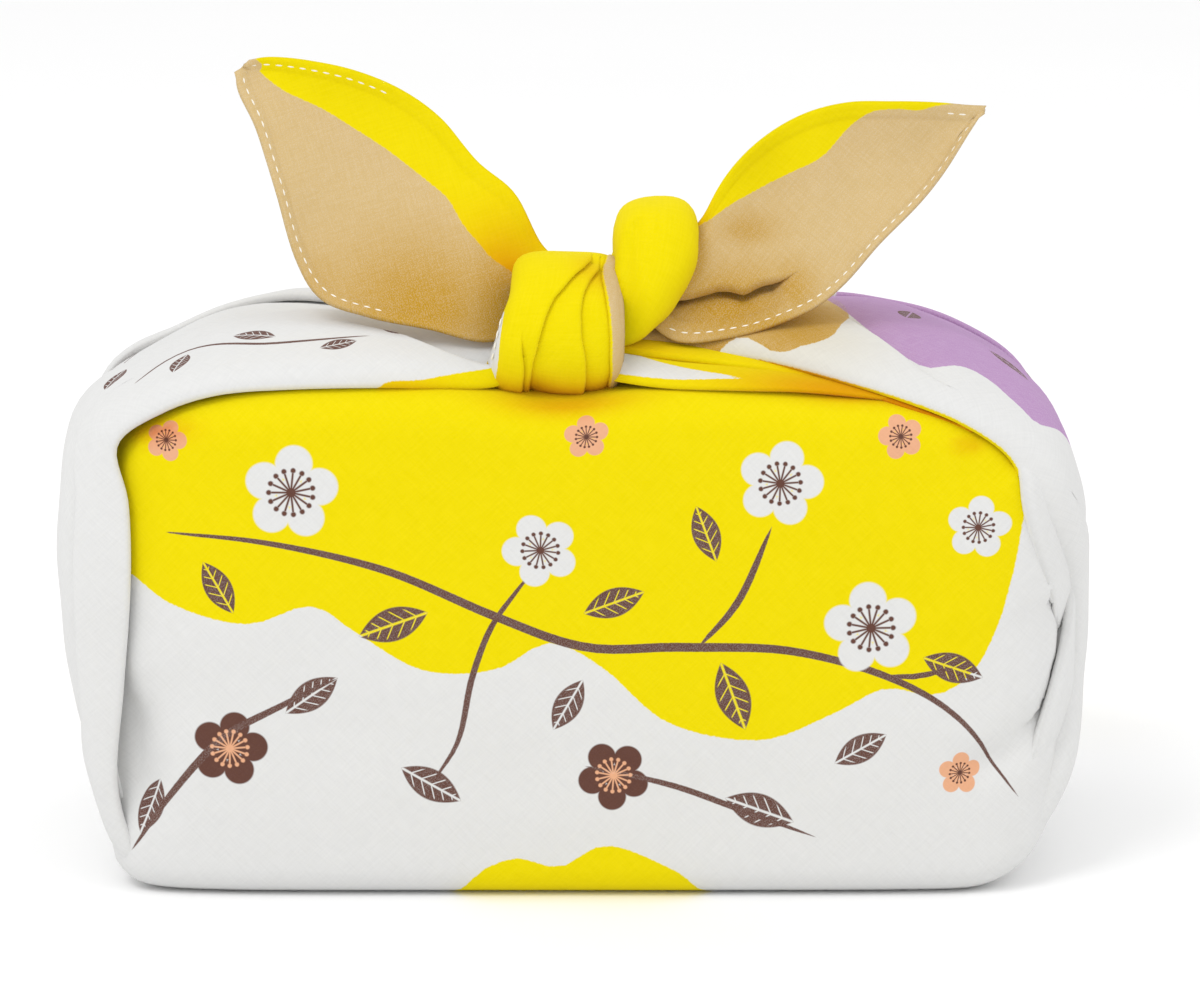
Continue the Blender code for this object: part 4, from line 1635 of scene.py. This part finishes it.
class Bench:
    """A new material's node tree, with short ways to add its nodes."""

    def __init__(self, name: str) -> None:
        """Start a material of a name.

        Args:
            name: the material's name.
        """
        self.material = bpy.data.materials.new(name)
        self.material.use_nodes = True
        self.tree = self.material.node_tree

    def feed(self, socket: bpy.types.NodeSocket, value: object) -> None:
        """Link a socket to another, or set its value.

        Args:
            socket: the input.
            value: a number, a socket or a plain value.
        """
        value = value.socket if isinstance(value, Number) else value
        if isinstance(value, bpy.types.NodeSocket):
            self.tree.links.new(value, socket)
        else:
            socket.default_value = value

    def node(self, kind: str, inputs: dict[str | int, object] | None = None, **settings: object) -> bpy.types.Node:
        """Add a node.

        Args:
            kind: its type, without the start that all shader nodes share.
            inputs: what feeds its inputs, by name or number.
            settings: its properties.

        Returns:
            The node.
        """
        made = self.tree.nodes.new("ShaderNode" + kind)
        for name, value in settings.items():
            setattr(made, name, value)
        for name, value in (inputs or {}).items():
            self.feed(made.inputs[name], value)
        return made

    def finish(self, inputs: dict[str, object]) -> bpy.types.Material:
        """Feed the material's shader and give the material."""
        for name, value in inputs.items():
            self.feed(self.tree.nodes["Principled BSDF"].inputs[name], value)
        return self.material

    def math(self, operation: str, *values: object) -> Number:
        """Add a Math node over numbers."""
        return Number(self, self.node("Math", dict(enumerate(values)), operation=operation).outputs[0])

    def length(self, across: Number, along: Number) -> Number:
        """Give the length of a flat vector."""
        return self.math("SQRT", across * across + along * along)

    def attribute(self, name: str) -> Number:
        """Read a number that the mesh holds."""
        return Number(self, self.node("Attribute", attribute_name=name).outputs["Fac"])

    def places(self, name: str) -> list[Number]:
        """Read three numbers that the mesh holds together."""
        vector = self.node("Attribute", attribute_name=name).outputs["Vector"]
        return [Number(self, socket) for socket in self.node("SeparateXYZ", {0: vector}).outputs]

    def mask(self, value: Number, limit: float, soft: float) -> Number:
        """Rise from 0 to 1 over a soft edge at a limit, or fall where soft is below 0."""
        inputs = {"Value": value, "From Min": limit - soft, "From Max": limit + soft}
        return Number(self, self.node("MapRange", inputs, clamp=True).outputs["Result"])

    def blend(self, share: object, first: object, second: object, mode: str = "MIX") -> bpy.types.NodeSocket:
        """Mix two colours."""
        return self.node("Mix", {0: share, 6: first, 7: second}, data_type="RGBA", blend_type=mode).outputs[2]

    def noise(self, vector: bpy.types.NodeSocket, scale: float, detail: float = 2.0) -> Number:
        """Add noise over a vector."""
        made = self.node("TexNoise", {"Vector": vector, "Scale": scale, "Detail": detail})
        return Number(self, made.outputs["Fac"])

    def bump(self, height: Number, strength: float, distance: float) -> bpy.types.NodeSocket:
        """Turn heights into the shader's normal."""
        return self.node("Bump", {"Strength": strength, "Distance": distance, "Height": height}).outputs[0]


@dataclass(frozen=True)
class PrintedCotton:
    """Slubby plain-weave cotton, printed in flat colours, with warm shade painted into its folds."""

    name: str = "printed_cotton"
    white: Colour = (217, 217, 216)
    yellow: Colour = (229, 210, 0)
    tan: Colour = (204, 176, 122)
    purple: Colour = (178, 140, 184)
    brown: Colour = (98, 66, 57)
    peach: Colour = (224, 168, 132)
    shade_gold: Colour = (230, 203, 58)  # what painted shade multiplies the tan and white by
    shade_orange: Colour = (232, 158, 60)  # what painted shade multiplies the yellow by
    roughness: float = 0.86
    threads: float = 2300.0  # across the whole side of the square
    slub: float = 0.09  # how little a thread's thickness changes along it, beside across it
    weave_depth: float = 0.00012

    def blossom(self, bench: Bench, across: Number, along: Number) -> tuple[Number, Number]:
        """Draw a five-petalled blossom.

        Args:
            bench: the material's tree.
            across: place in the motif.
            along: place in the motif.

        Returns:
            The masks of its petals and of its middle and stamens.
        """
        fifth = 2 * math.pi / 5
        angle, radius = bench.math("ARCTAN2", along, across), bench.length(across, along)
        turn = bench.math("WRAP", angle, fifth / 2, -fifth / 2)
        out, aside = (radius * bench.math(part, turn) for part in ("COSINE", "SINE"))
        petal = bench.mask(bench.length(out - 0.60, aside), 0.385, -0.02)
        spoke = abs(radius * bench.math("WRAP", angle, fifth / 6, -fifth / 6))
        thread = bench.mask(spoke, 0.022, -0.012) * bench.mask(radius, 0.42, -0.02)
        knob = bench.mask(bench.length(radius - 0.46, spoke), 0.055, -0.015)
        return petal | bench.mask(radius, 0.30, -0.02), bench.mask(radius, 0.11, -0.02) | thread | knob

    def leaf(self, bench: Bench, across: Number, along: Number) -> tuple[Number, Number]:
        """Draw a pointed leaf with its veins.

        Args:
            bench: the material's tree.
            across: place in the motif.
            along: place in the motif.

        Returns:
            The masks of its blade and of its veins.
        """
        aside = abs(along)
        within = (1.0 - across * across) * 0.46 - aside
        blade = bench.mask(within, 0.0, 0.02)
        vein = abs(bench.math("WRAP", across - aside * 0.9, 0.17, -0.17))
        vein = bench.mask(vein, 0.022, -0.012) * bench.mask(within, 0.09, 0.03)
        return blade, blade * (bench.mask(aside, 0.035, -0.015) | vein)

    def make(self) -> bpy.types.Material:
        """Build the material: fields, lines, leaves, blossoms, painted shade, then the weave.

        Returns:
            The material.
        """
        bench = Bench(self.name)
        place = bench.node("UVMap", uv_map="UVMap").outputs[0]
        bleed = (bench.noise(place, 900.0) - 0.5) * 0.5
        white, brown, peach = linear(self.white), linear(self.brown), linear(self.peach)
        colour, fields = white, []
        for name in ("yellow", "tan", "purple"):
            fields.append(bench.mask(bench.attribute(f"{name}_field") + bleed, 0.0, 0.12))
            colour = bench.blend(fields[-1], colour, linear(getattr(self, name)))
        yellow, tan, purple = fields

        lines = []
        for name in ("stroke_place", "twig_place"):
            aside, half, near = bench.places(name)
            lines.append(bench.mask(half - abs(aside) + bleed * 0.25, 0.0, 0.1) * bench.mask(near, 0.5, 0.05))
        line = lines[0] | lines[1]
        colour = bench.blend(line, colour, brown)

        across, along, near = bench.places("leaf_place")
        blade, veins = self.leaf(bench, across, along)
        blade = blade * bench.mask(near, 0.5, 0.05)
        colour = bench.blend(blade * (1.0 - veins), colour, brown)

        across, along, near = bench.places("blossom_place")
        petals, heart = self.blossom(bench, across, along)
        ink = bench.attribute("blossom_ink")
        is_brown, is_peach = (bench.math("COMPARE", ink, float(kind.value), 0.3) for kind in (Ink.BROWN, Ink.PEACH))
        fill = bench.blend(is_peach, bench.blend(is_brown, white, brown), peach)
        motif = bench.blend(heart, fill, bench.blend(is_brown, brown, peach))
        colour = bench.blend(petals * bench.mask(near, 0.5, 0.05), colour, motif)

        # painted shade: the colour is made darker and warmer, gold on tan and white and orange on yellow, where the
        # cloth lies in folds and under other layers
        shade_gold = bench.attribute("painted_shade") * ((yellow | tan) * 0.8 + 0.2)
        shade_tint = bench.blend(yellow - tan, linear(self.shade_gold), linear(self.shade_orange))
        colour = bench.blend(shade_gold, colour, bench.blend(1.0, colour, shade_tint, "MULTIPLY"))

        slubs = []
        for stretch in ((1.0, self.slub, 1.0), (self.slub, 1.0, 1.0)):
            along_thread = bench.node("Mapping", {"Vector": place, "Scale": stretch}).outputs[0]
            slubs.append(bench.mask(bench.noise(along_thread, self.threads * 0.55, 3.0), 0.5, 0.22))
        thread = (slubs[0] + slubs[1]) * 0.5
        speckle = bench.mask(bench.noise(place, 2600.0, 1.0) + thread * 0.2, 0.66, 0.14)
        grain = (line | blade) * 0.16 + purple * 0.2 + tan * 0.2 + 0.012
        colour = bench.blend(speckle * grain, colour, white)
        shade = bench.node("MapRange", {"Value": thread, "To Min": 0.945, "To Max": 1.02}).outputs["Result"]
        tone = bench.node("CombineColor", {0: shade, 1: shade, 2: shade}).outputs[0]
        return bench.finish({
            "Base Color": bench.blend(1.0, colour, tone, "MULTIPLY"),
            "Normal": bench.bump(thread, 0.4, self.weave_depth),
            "Roughness": self.roughness,
            "Sheen Weight": 0.02,
            "Sheen Roughness": 0.5,
            "Specular IOR Level": 0.04,
        })


@dataclass(frozen=True)
class SewingThread:
    """White sewing thread with a slight twist."""

    name: str = "sewing_thread"
    colour: Colour = (250, 247, 238)
    shade: Colour = (222, 216, 202)
    roughness: float = 0.7

    def make(self) -> bpy.types.Material:
        """Build the material.

        Returns:
            The material.
        """
        bench = Bench(self.name)
        fuzz = bench.noise(bench.node("TexCoord").outputs["Object"], 2600.0)
        colour = bench.blend(fuzz, linear(self.shade), linear(self.colour))
        return bench.finish({"Base Color": colour, "Normal": bench.bump(fuzz, 1.0, 0.0001),
                             "Roughness": self.roughness})


@dataclass(frozen=True)
class PaleFloor:
    """A plain pale floor with the faintest unevenness."""

    name: str = "pale_floor"
    colour: Colour = (251, 251, 251)
    shade: Colour = (249, 249, 249)
    roughness: float = 0.9

    def make(self) -> bpy.types.Material:
        """Build the material.

        Returns:
            The material.
        """
        bench = Bench(self.name)
        cloud = bench.noise(bench.node("TexCoord").outputs["Object"], 3.0, 1.0)
        colour = bench.blend(cloud, linear(self.shade), linear(self.colour))
        return bench.finish({"Base Color": colour, "Roughness": self.roughness, "Specular IOR Level": 0.1})


# ------------------------------------------------------------------ the print's layout on each part


FRONT_PRINT = PrintLayout(
    # painted shade under the arms' front edges, along the underfold and under the knot
    painted_shade=((-89, 104, 7, 2.2, 0.7), (62, 114, 10, 3.0, 0.9), (87, 101, 3, 2.0, 0.5), (0, 113, 14, 3.0, 0.6)),
    yellow=(
        (
            (-125, 132), (-125, 86), (-112, 76), (-98, 74), (-86, 66), (-70, 62), (-56, 66), (-46, 60),
            (-32, 52), (-16, 52), (-4, 58), (8, 52), (22, 40), (42, 36), (58, 42), (69, 47.5), (80, 46),
            (88, 50.5), (93.4, 60.5), (96.6, 73), (97.8, 83), (98.6, 92), (104, 102), (128, 112), (126, 240),
            (60, 292), (20, 300), (-30, 290),
            (-70, 296), (-118, 276), (-125, 200),
        ),
        ((-26, -14), (-22, 3), (-12, 9), (-2, 7), (8, 12), (20, 8), (28, 2), (34, -14)),
    ),
    motifs=(
        blossom(-60, 91, 10.5, 12), blossom(-6, 79, 8.5, 40), blossom(46, 93, 9.5, 4),
        blossom(66, 61, 10.5, 25), blossom(89, 83, 7.0, 10),
        blossom(-74, 34, 8.5, 5, Ink.BROWN), blossom(10, 28, 8.0, 50, Ink.BROWN),
        blossom(-87, 102, 4.6, 0, Ink.PEACH), blossom(4, 105, 5.0, 20, Ink.PEACH),
        blossom(72, 103, 5.0, 33, Ink.PEACH), blossom(86, 28, 5.0, 15, Ink.PEACH),
        leaf(-38, 62, 8.0, 200), leaf(10, 67, 7.0, 20), leaf(36, 46, 8.0, -70), leaf(84, 52, 7.0, -20),
        leaf(-56, 46, 7.0, 35), leaf(-30, 26, 7.5, -30), leaf(42, 20, 8.0, 160), leaf(-92, 20, 6.5, 250),
        leaf(0, 44, 6.5, -120), leaf(64, 34, 6.5, 30), leaf(-76, 70, 6.5, 120), leaf(30, 82, 6.5, 110),
        blossom(-50, 330, 9.0, 12, Ink.BROWN), blossom(20, 268, 10.0, 30), blossom(-60, 262, 8.0, 0),
        leaf(-20, 318, 8.0, 60), leaf(46, 322, 7.5, 160), leaf(64, 262, 7.0, -30),
        blossom(-40, -168, 9.0, 10, Ink.BROWN), leaf(10, -178, 8.0, 40), leaf(58, -160, 8.0, 150),
    ),
    strokes=(
        Stroke(((99, 22), (86, 40), (70, 50), (48, 56), (24, 57), (4, 57), (-16, 64), (-40, 74), (-66, 80),
                (-88, 82)), 2.0),
        Stroke(((-96, 10), (-88, 22), (-76, 36), (-62, 44), (-50, 50)), 1.7),
        Stroke(((54, 14), (38, 20), (22, 26), (4, 30)), 1.4),
    ),
    twigs=(
        Stroke(((28, 56.6), (37, 67), (44, 83)), 1.6),
        Stroke(((-7, 75), (-12, 68.5), (-17, 61), (-21, 50), (-24, 36), (-30, 26)), 1.4),
        Stroke(((69, 50.4), (76, 50.2), (84, 52)), 1.3),
    ),
)
LEFT_ARM_PRINT = PrintLayout(
    motifs=(
        leaf(140, 14, 5.0, 70), leaf(157, 20, 5.5, 150), leaf(176, 12, 4.6, 20), leaf(190, 20, 4.2, 160),
        leaf(124, 24, 5.0, 60), leaf(76, 80, 6.0, 80), leaf(40, 60, 6.0, 20), blossom(100, 96, 6.5, 20, Ink.BROWN),
        blossom(56, 40, 5.5, 20, Ink.PEACH),
    ),
    strokes=(
        Stroke(((128, 12), (142, 22), (160, 14), (184, 16)), 1.1),
        Stroke(((120, 52), (124, 66), (122, 80), (104, 92)), 1.3),
    ),
    yellow=(((186, -9), (200, -9), (230, -9), (250, -9), (250, 4), (230, 4), (214, 3.2), (206, 2.0), (198, 0.6),
             (186, -1)),),
    # painted shade at the arm's end under the knot
    painted_shade=((190, -1, 14, 3, 0.4),),
)
RIGHT_ARM_PRINT = PrintLayout(
    yellow=(((84, -9), (130, -9), (180, -9), (225, -9), (225, -0.7), (200, -0.6), (180, -0.6), (160, -0.6),
             (130, -0.6), (104, -0.7), (84, -1.2)),),
    purple=(
        ((175, 56), (167, 35), (160, 23), (153.6, 16), (148, 12.6), (140, 18), (134, 17.5), (128.7, 14),
         (123.5, 11.6), (119, 11), (113.5, 18.6), (107, 27), (101, 42), (98, 60), (99, 80), (106, 96),
         (120, 105), (138, 106), (154, 100), (166, 88), (173, 73)),
    ),
    tan=(((199, 3.6), (189, 1.9), (182, 5.5), (175, 12.7), (172, 24), (169, 37), (174, 57), (192, 62),
          (244, 50), (246, -6), (215, -12)),),
    motifs=(leaf(128, 40, 6.0, 30), leaf(152, 52, 6.0, 100), leaf(116, 62, 6.0, 60), leaf(60, 60, 6.0, 40),
            blossom(74, 88, 7.0, 10, Ink.BROWN)),
    strokes=(Stroke(((60, 58), (66, 72), (74, 88)), 1.3),),
    # painted shade on the tan under the right free end and in the gap under the arm's front edge
    painted_shade=((184, 18, 22, 30, 1.0), (200, 0, 26, 6, 1.0)),
)
BAND_PRINT = PrintLayout(
    yellow=(
        ((-90, -26.2), (-40, -26.2), (0, -26.2), (60, -26.2), (140, -26.2), (200, -26.2), (200, 90), (-90, 90)),
        ((-90, -80), (18, -80), (18.5, -60), (18.5, -26), (18, 20), (-90, 20)),
        ((41, -80), (200, -80), (200, 20), (41, 20), (40.5, -26), (40.5, -60)),
    ),
    tan=(((-20, 0.1), (-10, 0.1), (60, 0.1), (120, 0.1), (130, 0.1), (130, 40), (-20, 40)),),
    # painted shade along the band's underside
    painted_shade=((46, -12, 7, 30, 0.8), (8, -2, 6, 5, 0.3)),
)
YELLOW_PRINT = PrintLayout(yellow=(((-900, -900), (900, -900), (900, 900), (-900, 900)),))
UNDERFOLD_PRINT = PrintLayout(
    yellow=(((-20, -10), (104, -10), (104, 1.0), (74, 1.3), (64, 1.8), (52, 2.2), (44, 2.8), (38, 3.2), (30, 3.4),
             (-20, 3.4)),
            ((-20, 3), (32, 3), (38, 3.6), (44, 5), (52, 7), (62, 10), (70, 13), (74, 24), (-20, 24))),
    # painted shade along the underfold, near the knot
    painted_shade=((18, 0, 24, 9, 0.8), (72, 4, 6, 5, 0.4)),
)
INNER_FOLD_PRINT = PrintLayout(
    yellow=(((-100, -100), (200, -100), (200, 100), (-100, 100)),),
    # painted shade in the gap between the underfold and the arm
    painted_shade=((14, 4, 26, 40, 1.0), (84, 4, 22, 40, 0.35)),
)
LEFT_END_PRINT = PrintLayout(
    tan=(((-120, 100), (5, 100), (-4, 128), (-13, 135.6), (-17.1, 138.5), (-20.4, 142.2), (-23.5, 145.6),
          (-26.6, 150.5), (-30.9, 154.1), (-35.8, 157.8), (-40.9, 161.5), (-47.4, 165.6), (-55, 170.2),
          (-63.1, 173.9), (-68.4, 178), (-73, 183), (-120, 200)),),
    yellow=(((-120, 100), (20, 100), (20, 220), (-120, 220)),),
    # painted shade where the end goes into the knot
    painted_shade=((-32, 128, 22, 15, 1.0), (-15, 128, 12, 16, 1.0), (-54, 132, 14, 9, 0.5), (-8, 142, 6, 8, 0.4)),
)
RIGHT_END_PRINT = PrintLayout(
    tan=(((10, 100), (150, 100), (150, 171), (95, 171.5), (82.9, 171), (78.1, 169.9), (73, 170.3), (68.3, 169.9),
          (65, 168.3), (61.7, 165.3), (57.7, 160.6), (55.1, 158.7), (48.7, 155.6), (42.2, 152.3), (35.5, 148.8),
          (30.1, 144.9), (20, 138)),),
    yellow=(((10, 100), (150, 100), (150, 220), (10, 220)),),
    # painted shade at the end's root and round its pocket fold
    painted_shade=((40, 143.5, 7, 4, 0.7), (50, 131, 6, 6, 0.8), (35, 128, 18, 9, 1.0), (27, 138, 5, 11, 0.9),
            (46, 124, 18, 4, 0.9)),
)


# ------------------------------------------------------------------ putting it together


@dataclass
class Furoshiki:
    """The whole wrap: every sheet of the one cloth, joined, and the stitches of its hems."""

    name: str = "printed_cloth"

    def sheets(self) -> list[ClothSheet]:
        """List the cloth's stretches.

        Returns:
            The stretches, in the order in which they are joined.
        """
        arm_steps, side_fold = (7, 9, 9, 7), {"stations": 18, "arch_steps": (6,)}
        return [
            WrappedBody(layout=FRONT_PRINT, creases=BODY_CREASES),
            GatheredArm(name="left_arm", rows=LEFT_ARM_ROWS, layout=LEFT_ARM_PRINT, pleats=LEFT_ARM_PLEATS,
                        arch_steps=arm_steps),
            GatheredArm(name="right_arm", rows=RIGHT_ARM_ROWS, layout=RIGHT_ARM_PRINT, pleats=RIGHT_ARM_PLEATS,
                        arch_steps=arm_steps),
            GatheredArm(name="underfold", rows=UNDERFOLD_ROWS, stations=44, arch_steps=(12,),
                        layout=UNDERFOLD_PRINT),
            GatheredArm(name="inner_fold", rows=INNER_FOLD_ROWS, stations=36, arch_steps=(8,),
                        layout=INNER_FOLD_PRINT),
            GatheredArm(name="upper_side_fold", rows=UPPER_SIDE_ROWS, **side_fold),
            GatheredArm(name="lower_side_fold", rows=LOWER_SIDE_ROWS, **side_fold),
            KnotBand(layout=BAND_PRINT),
            KnotLobe(layout=YELLOW_PRINT, creases=LOBE_CREASES),
            FreeEnd(name="left_end", rows=LEFT_END_ROWS, layout=LEFT_END_PRINT, hem_turn=-72.0),
            FreeEnd(name="right_end", rows=RIGHT_END_ROWS, layout=RIGHT_END_PRINT, hem_turn=50.0,
                    pleats=RIGHT_END_PLEATS, steps=(7, 12)),
        ]

    def hem_rows(self) -> list[RunningStitch]:
        """List the rows of stitches on the free ends, the band and the back flap.

        Returns:
            The rows of stitches.
        """
        left, right, body = FreeEnd(rows=LEFT_END_ROWS), FreeEnd(rows=RIGHT_END_ROWS), WrappedBody()
        seams = (left.seam(0, 0.30, 0.985), left.seam(1, 0.56, 0.985), right.seam(0, 0.08, 0.985),
                 right.seam(1, 0.80, 0.96), KnotBand().seam(0.08, 0.20, 0.345), body.seam(-1.0), body.seam(1.0))
        return [RunningStitch(*seam) for seam in seams]

    def build(self, finish: bpy.types.Material) -> bpy.types.Object:
        """Build every stretch and join them to one cloth.

        Args:
            finish: the cloth's material.

        Returns:
            The cloth's object.
        """
        pieces = []
        for sheet in self.sheets():
            piece = sheet.build()
            LOG.info("%s: %d faces", sheet.name, len(piece.data.polygons))
            pieces.append(piece)
        return joined(pieces, self.name, finish)


@dataclass
class Studio:
    """The floor, the lights and the camera."""

    elevation: float = 10.0
    distance: float = 1.0
    aim: float = 0.095  # height that the camera looks at
    focal_pixels: float = 4336.0
    frame_width: float = 1200.0
    frame_height: float = 982.0
    principal: tuple[float, float] = (568.0, 424.43)
    sensor: float = 36.0
    floor_size: float = 14.0
    floor_drop: float = 0.0003
    lights_aim: Point = (0.0, 0.0, 0.08)

    def camera(self) -> None:
        """Set the camera at the photograph's angle."""
        made = bpy.data.objects.new("camera", bpy.data.cameras.new("camera"))
        bpy.context.scene.collection.objects.link(made)
        lift = math.radians(self.elevation)
        made.location = (0.0, -self.distance * math.cos(lift), self.aim + self.distance * math.sin(lift))
        made.rotation_euler = (math.pi / 2 - lift, 0.0, 0.0)
        made.data.sensor_fit = "HORIZONTAL"
        made.data.sensor_width = self.sensor
        made.data.lens = self.focal_pixels * self.sensor / self.frame_width
        made.data.shift_x = -(self.principal[0] - self.frame_width / 2) / self.frame_width
        made.data.shift_y = (self.principal[1] - self.frame_height / 2) / self.frame_width
        made.data.clip_start = 0.01
        bpy.context.scene.camera = made

    def light(self, name: str, place: Point, size: float, power: float) -> None:
        """Add one soft square light.

        Args:
            name: its name.
            place: where it stands.
            size: its side.
            power: its watts.
        """
        lamp = bpy.data.lights.new(name, "AREA")
        lamp.shape = "SQUARE"
        lamp.size = size
        lamp.energy = power
        made = bpy.data.objects.new(name, lamp)
        bpy.context.scene.collection.objects.link(made)
        made.location = place
        way = np.array(place) - np.array(self.lights_aim)
        flat = math.hypot(way[0], way[1])
        made.rotation_euler = (math.atan2(flat, way[2]), 0.0, math.atan2(way[1], way[0]) + math.pi / 2)

    def build(self, finish: bpy.types.Material) -> None:
        """Build the floor, lights and camera.

        Args:
            finish: the floor's material.
        """
        deselect()
        bpy.ops.mesh.primitive_plane_add(size=self.floor_size, location=(0, 0, 0))
        floor = bpy.context.object
        floor.name = "floor"
        floor.data.materials.append(finish)
        for point in floor.data.vertices:
            point.co.z = -self.floor_drop
        world = bpy.data.worlds.new("studio")
        world.use_nodes = True
        background = world.node_tree.nodes["Background"]
        background.inputs["Color"].default_value = (1.0, 1.0, 1.0, 1.0)
        background.inputs["Strength"].default_value = 1.0
        bpy.context.scene.world = world
        self.light("key", (-0.8, -1.0, 1.7), size=0.8, power=9.5)
        self.light("fill", (1.3, -0.6, 1.2), size=1.0, power=2.5)
        self.camera()


def main() -> None:
    """Build the cloth, its thread and the studio, and tell the frame about each piece."""
    logging.basicConfig(level=logging.INFO, format="%(name)s: %(message)s")
    bpy.context.scene.view_settings.view_transform = "Standard"
    wrap = Furoshiki()
    cloth = wrap.build(PrintedCotton().make())
    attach(cloth, "root")
    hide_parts(NODE)
    LOG.info("cloth: %d faces", len(cloth.data.polygons))
    thread = HemThread(wrap.hem_rows()).build(SewingThread().make())
    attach(thread, "root")
    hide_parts(NODE)
    LOG.info("thread: %d faces", len(thread.data.polygons))
    Studio().build(PaleFloor().make())


if __name__ == "__main__":
    main()
